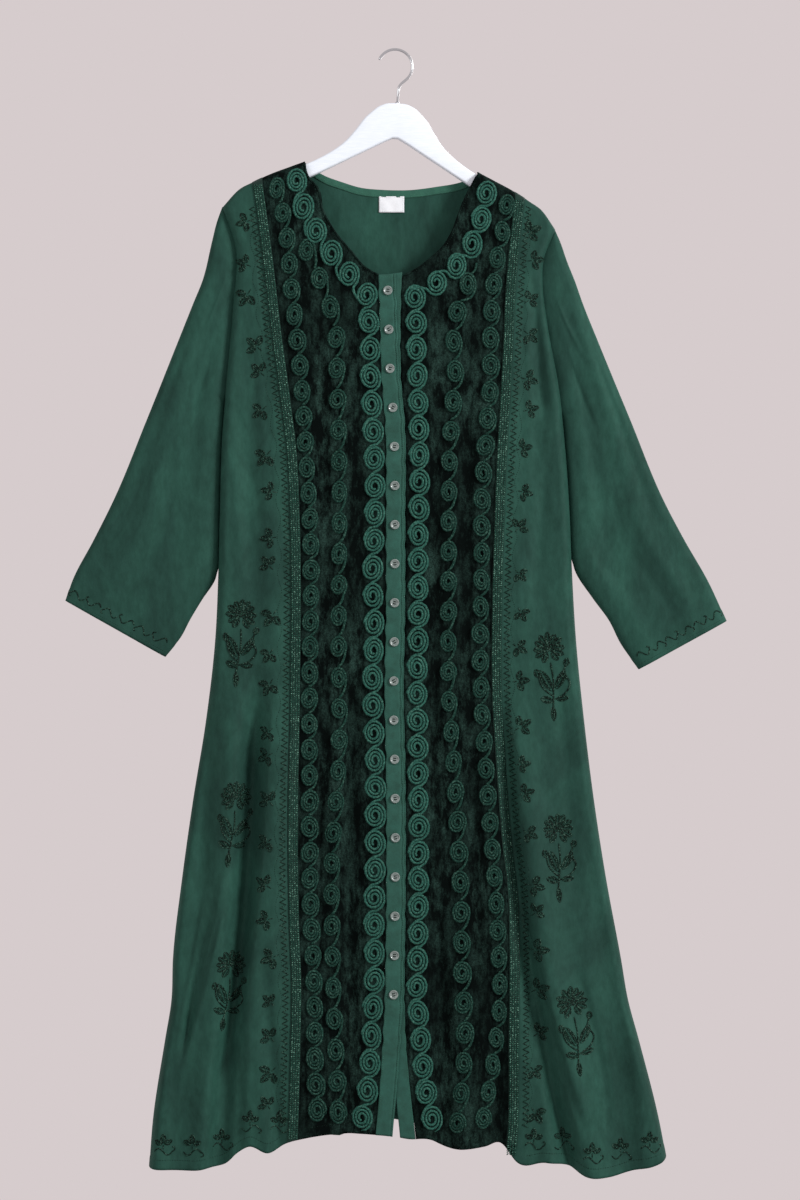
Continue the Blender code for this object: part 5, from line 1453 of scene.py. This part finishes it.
BUTTON_RADIUS = 6.15 * MM
BUTTON_HEIGHT = 2.4 * MM
HOLE_RADIUS = 0.85 * MM
HOLE_PLACE = 1.35 * MM
BUTTON_SIDES = 32
HOLE_SIDES = 10
BUTTON_SEAT = 0.25 * MM
BUTTON_TWIST = (-0.6, 0.6)
THREAD_RADIUS = 0.32 * MM
THREAD_SHIFT = 0.3 * MM
# Columns: shares of the button's radius and height, from its dished middle to its back
BUTTON_PROFILE = [
    (0.62, 0.62), (0.68, 0.74), (0.76, 0.93), (0.85, 1.0), (0.93, 0.94), (0.985, 0.72),
    (1.0, 0.5), (0.97, 0.25), (0.88, 0.05), (0.80, 0.0),
]
# Columns: along a thread from hole to hole, height over the button's middle
THREAD_ARCH = [
    (-HOLE_PLACE, -1.2 * MM), (-HOLE_PLACE * 0.9, 0.25 * MM), (0, 0.5 * MM),
    (HOLE_PLACE * 0.9, 0.25 * MM), (HOLE_PLACE, -1.2 * MM),
]


def new_ring(shape, centre, radius, height, count):
    """Corners on a level circle, added to a shape."""
    x, y = centre
    return [
        shape.verts.new((x + radius * math.cos(angle), y + radius * math.sin(angle), height))
        for angle in np.arange(count) * math.tau / count
    ]




def button_mesh():
    """A four hole shirt button, turned with a raised rim and a dished middle."""
    shape = bmesh.new()
    rings = [
        new_ring(shape, (0, 0), BUTTON_RADIUS * share, BUTTON_HEIGHT * rise, BUTTON_SIDES)
        for share, rise in BUTTON_PROFILE
    ]
    for inner, outer in zip(rings, rings[1:]):
        for step in range(BUTTON_SIDES):
            following = (step + 1) % BUTTON_SIDES
            shape.faces.new((inner[step], outer[step], outer[following], inner[following]))
    places = [(HOLE_PLACE * a, HOLE_PLACE * b) for a in (-1, 1) for b in (-1, 1)]
    layers = []
    for rim in (rings[0], rings[-1]):
        rise = rim[0].co.z
        holes = [new_ring(shape, spot, HOLE_RADIUS, rise, HOLE_SIDES) for spot in places]
        edges = []
        for loop in [rim] + holes:
            for pair in zip(loop, loop[1:] + loop[:1]):
                edges.append(shape.edges.get(pair) or shape.edges.new(pair))
        bmesh.ops.triangle_fill(shape, use_beauty=True, use_dissolve=False, edges=edges)
        layers.append(holes)
    for upper, lower in zip(*layers):
        for step in range(HOLE_SIDES):
            following = (step + 1) % HOLE_SIDES
            shape.faces.new((upper[step], upper[following], lower[following], lower[step]))
    bmesh.ops.recalc_face_normals(shape, faces=shape.faces)
    mesh = bpy.data.meshes.new("shirt_button")
    shape.to_mesh(mesh)
    shape.free()
    mesh.materials.append(pearl["look"])
    mesh.shade_smooth()
    mesh.set_sharp_from_angle(angle=math.radians(40))
    return mesh


def buttons():
    """Buttons on the over band, each turned a little differently, and the thread through them."""
    mesh = button_mesh()
    face = over_band.face()
    draw = np.random.default_rng(19)
    threads = Skein()
    made = []
    for index, down in enumerate(button_downs):
        low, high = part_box("button_%02d" % (index + 1))
        x = (low[0] + high[0]) / 2
        seat, normal = face.at(np.array([x]), np.array([down]), BUTTON_SEAT)
        seat, normal = Vector(seat[0]), Vector(normal[0])
        twist = Matrix.Rotation(draw.uniform(*BUTTON_TWIST), 4, "Z")
        facing = normal.to_track_quat("Z", "Y").to_matrix().to_4x4()
        place = Matrix.Translation(seat) @ facing @ twist
        button = bpy.data.objects.new("shirt_button_%02d" % (index + 1), mesh)
        button.matrix_world = place
        bpy.context.scene.collection.objects.link(button)
        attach(button, "root")
        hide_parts("button_%02d" % (index + 1))
        made.append(button)
        middle = BUTTON_HEIGHT * BUTTON_PROFILE[0][1]
        for row in (-1, 1):
            for shift in (-THREAD_SHIFT, THREAD_SHIFT):
                path = drawn(np.array([
                    place @ Vector((along, row * HOLE_PLACE + shift, middle + rise))
                    for along, rise in THREAD_ARCH
                ]), 11)
                normals = np.tile(np.array(normal), (11, 1))
                threads.lay(path, normals, THREAD_RADIUS, 6)
    return made, threads.finish("button_threads", button_thread)


button_pieces, thread_piece = buttons()


def forwards(count):
    """The garment's own forward direction, for as many points."""
    return np.tile([0.0, -1.0, 0.0], (count, 1))


# The neck: rolled front edge, back binding and blank label

NECK_ROLL_RADIUS = 1.35 * MM
FELLED_BESIDE = 2.6 * MM


def neck_edge(side):
    """The velvet's neck edge, rolled under and felled: a soft cord of velvet along it."""
    start = (LEFT_NECK if side == "left" else RIGHT_NECK)[0][0]
    down = np.linspace(start + 0.004, NECK_END - 0.001, 120)
    x = velvet_edge(side, down) + SIDE[side] * 0.6 * MM
    down = np.maximum(down, shoulder(x) + 0.0005)
    work = Skein()
    points, normals = front.at(x, down, 0.1 * MM)
    work.lay(points, normals, NECK_ROLL_RADIUS, 8, 0.6)
    rolled = work.finish("neck_edge_" + side, velvet)
    sewing = Skein()
    row_of_stitches(sewing, front, x + SIDE[side] * FELLED_BESIDE, down, FELLING_STITCH)
    return rolled, sewing.finish("neck_edge_sewing_" + side, floss)


neck_edges = {side: neck_edge(side) for side in SIDE}

BINDING_WIDTH = 10 * MM
OVERCAST_SLANT = math.pi / 2 - 0.3
STITCHED_LIFT = 1.2 * MM
LABEL_BOW = 0.35 * MM
LABEL_WALL = 0.6 * MM
LABEL_INSET = 1.2 * MM
LABEL_PITCH = 2.4 * MM


class Inside:
    """The inner side of the back, which shows through the neck."""

    def at(self, x, down, lift=0.0):
        points, normals = back.at(x, down, -RAYON - np.asarray(lift))
        return points, -normals


inside = Inside()


def back_binding():
    """A strip of poplin bound over the back neck edge, ticked across with overcast stitches."""
    x = np.linspace(BACK_NECK[0][0] + NECK_TURN, BACK_NECK[-1][0] - NECK_TURN, 90)
    share = np.array([0, 0.03, 0.1, 0.3, 0.6, 0.9, 0.97, 1])
    down = back_neck(x)[None, :] + share[:, None] * BINDING_WIDTH + 0.0002
    x = x[None, :] * np.ones_like(down)
    rise = 1.0 * MM * turn(np.minimum(share, 1 - share)[:, None] / 0.1) + 0.3 * MM
    outer, _ = inside.at(x, down, rise)
    inner, _ = inside.at(x, down, 0.1 * MM)
    strip = cloth("back_neck_binding_strip", outer, inner, bias_strip, "back_neck_binding")
    work = Skein()
    row_of_stitches(work, inside, x[0], down[4], OVERCAST_STITCH, OVERCAST_SLANT, STITCHED_LIFT)
    row_of_stitches(work, inside, x[0], down[5], BINDING_STITCH, 0.0, STITCHED_LIFT)
    return strip, work.finish("back_neck_binding_sewing", sewing_thread)


def label():
    """A blank satin label, sewn down all round; its folded ends are not shaped."""
    low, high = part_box("neck_label")
    x, down = np.meshgrid(mix(low[0], high[0], np.linspace(0, 1, 24)),
                          mix(-high[2], -low[2], np.linspace(0, 1, 16)))
    y = mix(low[1], high[1], 0.2)
    bow = LABEL_BOW * np.sin(x * 340) * np.sin((down + 0.01) * 200)
    outer = np.stack([x, y + bow, -down], axis=-1)
    inner = outer + np.array([0, LABEL_WALL, 0])
    tape = cloth("blank_neck_label", outer, inner, label_tape, "neck_label")
    work = Skein()
    inset = LABEL_INSET
    corners = [(low[0] + inset, high[2] - inset), (high[0] - inset, high[2] - inset),
               (high[0] - inset, low[2] + inset), (low[0] + inset, low[2] + inset)]
    for start, end in zip(corners, corners[1:] + corners[:1]):
        start, end = np.array(start), np.array(end)
        count = int(np.hypot(*(end - start)) / LABEL_PITCH)
        share = (np.arange(count) + 0.5) / count
        spots = mix(start[None, :], end[None, :], share[:, None])
        centres = np.stack([spots[:, 0], np.full(count, y - LABEL_BOW), spots[:, 1]], axis=1)
        way = np.array([end[0] - start[0], 0, end[1] - start[1]])
        work.stitches(centres, np.tile(way, (count, 1)), forwards(count), 1.7 * MM, 0.5 * MM,
                      0.3 * MM)
    return tape, work.finish("neck_label_sewing", label_tape)


binding_piece, binding_sewing = back_binding()
label_piece, label_sewing = label()


# The embroidery on the side panels

FLOSS_RADIUS = 0.8 * MM
FINE_FLOSS = FLOSS_RADIUS * 0.8
ZIGZAG_START = {"left": 7.5 * MM, "right": 9.5 * MM}
ZIGZAG_WIDTH = 8 * MM
ZIGZAG_STEP = 3.75 * MM
ZIGZAG_REACH = (0.205, 1.405)
ZIGZAG_DRIFT = 2.3 * MM
SEWN_OFF_EDGE = 0.006
LEAF_PITCH = 1.9 * MM
VINE_OUT = 21 * MM
VINE_SWING = 2.6 * MM
VINE_WAVE = 0.048
SPRIG_PITCH = 0.05
SPRIG_OUT = {"left": 30, "right": 27}
# Columns: turn and share of the size of a sprig's lobes
SPRIG_LOBES = [(-1.15, 0.85), (0.0, 1.0), (1.15, 0.85)]


def seam_places(side, offset, down):
    """Places outwards from the seam by an offset."""
    return seams[side](down) + SIDE[side] * offset, down


def zigzag(work, side):
    """A zigzag thread just outside the braid, 8 mm wide with a pitch of 7.5 mm."""
    downs = np.arange(*ZIGZAG_REACH, ZIGZAG_STEP)
    index = np.arange(len(downs))
    extra = ZIGZAG_DRIFT * ease((downs - 0.7) / 0.5)
    offset = ZIGZAG_START[side] + extra + ZIGZAG_WIDTH * (index % 2)
    fine = np.linspace(0, len(downs) - 1, (len(downs) - 1) * 4 + 1)
    down = np.interp(fine, index, downs)
    x, down = seam_places(side, np.interp(fine, index, offset), down)
    keep = (down > shoulder(x) + SEWN_OFF_EDGE) & (down < front_hem(x) - SEWN_OFF_EDGE)
    sewn(work, front, x[keep], down[keep], FINE_FLOSS)


def leaf(work, face, x, down, angle, length, width, full=1.0):
    """A leaf or petal: slanted satin stitches off a middle line, as wide as a share of the
    thread that is laid round it. Angle 0 points right, a quarter turn points down."""
    cos, sin = math.cos(angle), math.sin(angle)

    def spot(out, beside):
        return x + out * cos - beside * sin, down + out * sin + beside * cos

    t = np.linspace(0, math.tau, 13)
    out = length * (1 - np.cos(t)) / 2
    beside = width / 2 * np.sin(t) * (0.55 + 0.45 * np.sin(out / length * math.pi))
    sewn(work, face, *spot(out, beside), FINE_FLOSS)
    out = np.arange(0.12 * length, 0.88 * length, LEAF_PITCH)
    reach = width / 2 * full * np.sin(out / length * math.pi) ** 0.6
    for side in (-1, 1):
        root, normals = face.at(*spot(out, 0.0 * out), 0.2 * MM)
        tip, _ = face.at(*spot(out + 0.6 * reach, side * reach), 0.1 * MM)
        size = np.linalg.norm(tip - root, axis=1)
        work.stitches((root + tip) / 2, tip - root, normals, size * 1.1, 2.1 * MM, 0.8 * MM)


def sprig(work, face, x, down, angle, size):
    """Three small lobes on a short stalk."""
    for turned, share in SPRIG_LOBES:
        way = angle + turned
        start_x, start_down = x + size * 0.15 * math.cos(way), down + size * 0.15 * math.sin(way)
        leaf(work, face, start_x, start_down, way, size * share, size * 0.55, 0.9)
    stalk = np.linspace(0, size * 0.5, 4)
    sewn(work, face, x - stalk * math.cos(angle), down - stalk * math.sin(angle), FINE_FLOSS)


def vine(work, side):
    """A dotted wavy stem with sprigs on it, outside the zigzag."""
    down = np.linspace(0.215, 1.395, 900)
    wave = VINE_SWING * np.sin(down / VINE_WAVE * math.tau)
    narrow = ease((down - 0.20) / 0.12)
    x, down = seam_places(side, VINE_OUT * mix(0.72, 1.0, narrow) + wave, down)
    row_of_stitches(work, front, x, down, STEM_STITCH)
    draw = np.random.default_rng(7 + SIDE[side])
    for place in np.arange(0.228, 1.385, SPRIG_PITCH):
        out = SPRIG_OUT[side] * MM * mix(0.6, 1.0, float(ease((place - 0.20) / 0.14)))
        out = out + draw.uniform(-3, 4) * MM
        x, spot = seam_places(side, out, place + draw.uniform(-11, 11) * MM)
        angle = (0 if side == "right" else math.pi) + draw.uniform(-1.1, 1.1)
        sprig(work, front, float(x), float(spot), angle, draw.uniform(11.5, 16.5) * MM)


# Lines of x, down in millimetres from the motif's centre
MOTIF_LINES = [
    [(-1, -14), (0, 6), (-2, 24), (-4, 40), (-4, 52)],
    [(-2, 30), (7, 27), (15, 21), (19, 13), (16, 6), (12, 9)],
    [(0, 16), (7, 6), (13, -2), (17, -10)],
    [(-2, 26), (-9, 20), (-15, 11), (-17, 0)],
]
# Columns: root's x and down, angle, length, width of the leaves and buds
MOTIF_LEAVES = [
    (-3, 20, -2.00, 27, 10), (-3, 32, -2.75, 15, 8), (2, 18, -1.00, 24, 9), (1, 30, -0.10, 15, 7),
    (16, 7, -2.3, 8, 5), (16, -8, -1.2, 9, 7), (-17, 2, -1.8, 10, 7), (-4, 38, 1.57, 18, 6),
]
HEAD_CENTRE = (-1.0, -31.0)
HEAD_PETALS = 11
HEAD_SPREAD = math.radians(300)


def motif(work, x, down, size=1.0, turned=0.0, seed=0):
    """A daisy on a stem with leaves and curled buds."""
    draw = np.random.default_rng(seed)
    cos, sin = math.cos(turned) * MM * size, math.sin(turned) * MM * size

    def spot(places):
        across, below = np.moveaxis(np.asarray(places, dtype=float), -1, 0)
        return x + across * cos - below * sin, down + across * sin + below * cos

    def grown(root, angle, length, width):
        root_x, root_down = spot(root)
        way = angle + turned + draw.uniform(-0.08, 0.08)
        length = length * size * MM * draw.uniform(0.93, 1.06)
        leaf(work, front, float(root_x), float(root_down), way, length, width * size * MM)

    for line in MOTIF_LINES:
        path_x, path_down = spot(drawn(line, 24))
        sewn(work, front, path_x, path_down, FLOSS_RADIUS * 1.3)
    for index in range(HEAD_PETALS):
        angle = -math.pi / 2 + HEAD_SPREAD * (index / (HEAD_PETALS - 1) - 0.5)
        root = np.array(HEAD_CENTRE) + 5.5 * np.array([math.cos(angle), math.sin(angle)])
        grown(root, angle, 13.0, 7.2)
        if index % 2:
            grown(HEAD_CENTRE, angle, 7.0, 5.0)
    for across, below, angle, length, width in MOTIF_LEAVES:
        grown((across, below), angle, length, width)


# Columns: side, x, down of the motif's centre, size, turn
MOTIFS = [
    ("left", -0.2000, 0.7700, 1.08, 0.05), ("left", -0.2080, 1.0050, 1.05, 0.08),
    ("left", -0.2150, 1.2220, 1.0, 0.10), ("right", 0.2050, 0.8140, 1.1, -0.12),
    ("right", 0.2140, 1.0480, 1.08, -0.05), ("right", 0.2350, 1.2720, 1.1, -0.15),
]


def scroll(work, place, length, height, side=1):
    """One S scroll along a line; place turns distances along and off the line into a path."""
    t = np.linspace(0, 1, 22)
    along = length * (t - 0.5) * 0.9
    off = height * 0.5 * np.sin(t * math.tau) * side
    curl = np.linspace(0, 3.6, 10)
    radius = np.linspace(height * 0.45, height * 0.12, 10)
    end_along = along[-1] + radius * np.sin(curl)
    end_off = off[-1] + side * (height * 0.45 - radius * np.cos(curl))
    place(work, np.concatenate([along, end_along]), np.concatenate([off, end_off]))


# Ends of the hem's work, and distances of its scrolls and its dashed lines above the hem
SCROLLS_UP = 24 * MM
DASHES_UP = (12 * MM, 8 * MM)
HEM_WORK = {"left": (-0.300, -0.150), "right": (0.180, 0.330)}


def hem_work(work, side):
    """Scrolls and sprigs above the hem, and two dashed lines along it."""
    across = np.linspace(*HEM_WORK[side], 5)
    for index, x in enumerate(across):
        base = float(front_hem(x)) - SCROLLS_UP

        def place(skein, along, off, x=x, base=base):
            sewn(skein, front, x + along, base + off, FLOSS_RADIUS)

        scroll(work, place, 26 * MM, 9 * MM, 1 if index % 2 else -1)
        sprig(work, front, float(x), base - 9 * MM, -math.pi / 2, 12 * MM)
    line = np.linspace(across[0] - 0.012, across[-1] + 0.012, 120)
    for rise in DASHES_UP:
        row_of_stitches(work, front, line, front_hem(line) - rise, DASHED_STITCH)


# Shares of a sleeve's length, and two lengths that turn metres into shares
CUFF_SCROLLS = 0.974
CUFF_LINE = 0.991
SLEEVE_LENGTH = 0.55
CUFF_WIDTH = 0.148
CUFF_DASHES = 52


def cuff_work(work, name):
    """S scrolls above the cuff's edge and a stitched line under them, all round."""
    cut = sleeves[name][0]
    for facing in (-1, 1):
        for index in range(6):
            middle = (index + 0.6) / 6.4 * facing

            def place(skein, along, off, middle=middle):
                points, normals = cut.at(CUFF_SCROLLS - off / SLEEVE_LENGTH,
                                         middle + along / CUFF_WIDTH, FLOSS_RADIUS * 0.5)
                skein.lay(points, normals, FLOSS_RADIUS, 4)

            scroll(work, place, 21 * MM, 8 * MM, 1 if index % 2 else -1)
        across = np.linspace(0.03, 0.97, CUFF_DASHES) * facing
        centres, normals = cut.at(np.full(CUFF_DASHES, CUFF_LINE), across, 0.3 * MM)
        ahead, _ = cut.at(np.full(CUFF_DASHES, CUFF_LINE), across + 0.002, 0.3 * MM)
        work.stitches(centres, ahead - centres, normals, 2.2 * MM, 0.9 * MM, 0.5 * MM)


def embroidery(side):
    work = Skein()
    zigzag(work, side)
    vine(work, side)
    for index, (where, x, down, size, turned) in enumerate(MOTIFS):
        if where == side:
            motif(work, x, down, size, turned, index)
    hem_work(work, side)
    panel_work = work.finish("side_embroidery_" + side, floss)
    cuffs = Skein()
    cuff_work(cuffs, side)
    return panel_work, cuffs.finish("cuff_embroidery_" + side, floss)


embroideries = {side: embroidery(side) for side in SIDE}


# Sewing at the hems

# Columns: face, its hem, x at the ends of a run of stitches, points of its line
HEM_RUNS = [
    (front, front_hem, -0.312, -0.148, 120), (front, front_hem, -0.118, -0.030, 80),
    (front, front_hem, 0.032, 0.140, 90), (front, front_hem, 0.170, 0.345, 120),
    (back, back_hem, -0.312, 0.345, 420),
]


def hem_sewing():
    """Machine stitches that hold the turned hem, front and back."""
    work = Skein()
    for face, hem, *run in HEM_RUNS:
        x = np.linspace(*run)
        row_of_stitches(work, face, x, hem(x) - HEM_TURN + 1.2 * MM, HEM_STITCH, 0.0, HEM_LIFT)
    return work.finish("hem_sewing", floss)


hem_thread = hem_sewing()


# The hanger

def leaned(points):
    """The hanger hangs a little askew on its hook's seat."""
    cos, sin = math.cos(HANGER_TILT), math.sin(HANGER_TILT)
    x, y, z = points.T
    return np.stack([x * cos + z * sin, y, z * cos - x * sin], axis=1)


HANGER_POINTS = 360
EDGE_POINTS = 6


def wooden_hanger():
    """White hanger, cut from board with its edges rounded over."""
    half = HANGER_TOP + HANGER_UNDER
    table = half + [(-across, down) for across, down in half[-2:0:-1]] + [half[0]]
    outline = drawn([(HANGER_CENTRE + across, -down) for across, down in table], HANGER_POINTS)[:-1]
    way = np.roll(outline, -1, axis=0) - np.roll(outline, 1, axis=0)
    way /= np.linalg.norm(way, axis=1, keepdims=True)
    inward = np.stack([way[:, 1], -way[:, 0]], axis=1)
    count = len(outline)
    flat = HANGER_THICKNESS / 2 - HANGER_EDGE
    rings = [
        (HANGER_EDGE * (1 - math.cos(angle)), flat + HANGER_EDGE * math.sin(angle))
        for angle in np.linspace(0, math.pi / 2, EDGE_POINTS)
    ]
    rings = [(inset, -y) for inset, y in rings[::-1]] + rings
    layers = []
    for inset, y in rings:
        edge = outline + inward * inset
        layers.append(np.stack([edge[:, 0], np.full(count, y), edge[:, 1]], axis=1))
    points = leaned(np.concatenate(layers))
    index = np.arange(len(points)).reshape(len(rings), count)
    following = np.roll(index, -1, axis=1)
    skin = np.stack([index[:-1], following[:-1], following[1:], index[1:]], axis=-1).reshape(-1, 4)
    faces = [skin, index[:1, ::-1], index[-1:, :]]
    wood = new_piece("white_hanger", points, faces, white_beech, "hanger_wood")
    mesh_normals_out(wood)
    wood.data.set_sharp_from_angle(angle=math.radians(35))


def mesh_normals_out(piece):
    """Turns a closed piece's faces outwards."""
    shape = bmesh.new()
    shape.from_mesh(piece.data)
    bmesh.ops.recalc_face_normals(shape, faces=shape.faces)
    shape.to_mesh(piece.data)
    shape.free()


def hook_line():
    """The wire's centre line in the hanger's plane: round the seat, then down the stem."""
    inner = HOOK_RADIUS - WIRE_RADIUS
    centre = np.array([inner * math.sin(HANGER_TILT), -inner * math.cos(HANGER_TILT)])
    angle = np.linspace(HOOK_TIP_ANGLE, HOOK_END_ANGLE, 60)
    bow = centre + HOOK_RADIUS * np.stack([np.cos(angle), np.sin(angle)], axis=1)
    start, end = bow[-1], np.array([HANGER_CENTRE, -STEM_TOP])
    lean = np.array([math.sin(HOOK_END_ANGLE), -math.cos(HOOK_END_ANGLE)])
    sweep = bezier(start, start + HOOK_PULL * lean, end + np.array([0, HOOK_PULL]), end, 24)
    return np.concatenate([bow, sweep[1:], [[HANGER_CENTRE, -STEM_END]]])


# Columns: distance below the hook's seat, radius in millimetres
FERRULE = [(0.0668, 2.6), (0.0674, 3.0), (0.0690, 3.1), (0.0700, 3.1)]


def wire_hook():
    """The bent wire, and the ferrule where it enters the wood."""
    work = Skein()
    path = leaned(np.array([(x, 0.0, z) for x, z in hook_line()]))
    work.lay(path, forwards(len(path)), WIRE_RADIUS, 16, 0.75)
    work.finish("chrome_hook", chrome, "hanger_hook")
    collar = Skein()
    stem = leaned(np.array([(HANGER_CENTRE, 0.0, -down) for down, _ in FERRULE]))
    radii = np.array([radius for _, radius in FERRULE]) * MM
    collar.lay(stem, forwards(len(stem)), radii, 16, 0.9)
    collar.finish("hook_ferrule", chrome)


wooden_hanger()
wire_hook()


# The room: a pale floor, soft light and an even pale backdrop

FLOOR = -1.9
FLOOR_CORNERS = [(-2.6, -2.6), (2.6, -2.6), (2.6, 1.9), (-2.6, 1.9)]
# Columns: name, place, where it points, size, power
LAMPS = [
    ("key light", (3.3, -2.3, 0.9), (0, 0, -0.75), 1.1, 175.0),
    ("fill light", (-2.4, -2.4, 0.3), (0, 0, -0.8), 1.8, 22.0),
    ("back light", (1.2, 2.6, 0.4), (0, 0, -0.75), 1.6, 40.0),
]


def studio():
    world = bpy.data.worlds.new("pale room")
    bpy.context.scene.world = world
    world.use_nodes = True
    backdrop = world.node_tree.nodes["Background"]
    backdrop.inputs["Color"].default_value = linear("#D6CCCD")
    backdrop.inputs["Strength"].default_value = 1.0
    mesh = bpy.data.meshes.new("pale_floor")
    mesh.from_pydata([(*corner, FLOOR) for corner in FLOOR_CORNERS], [], [(0, 1, 2, 3)])
    floor = bpy.data.objects.new("pale_floor", mesh)
    bpy.context.scene.collection.objects.link(floor)
    plaster = new_look("floor, matt paint", "rayon", Base_Color=linear("#A6A0A1"), Roughness=0.9,
                       Specular_IOR_Level=0.2)
    mesh.materials.append(plaster["look"])
    for name, place, aim, size, power in LAMPS:
        lamp = bpy.data.lights.new(name, "AREA")
        lamp.size = size
        lamp.energy = power
        holder = bpy.data.objects.new(name, lamp)
        holder.location = place
        holder.rotation_euler = (Vector(aim) - Vector(place)).to_track_quat("-Z", "Y").to_euler()
        bpy.context.scene.collection.objects.link(holder)


studio()
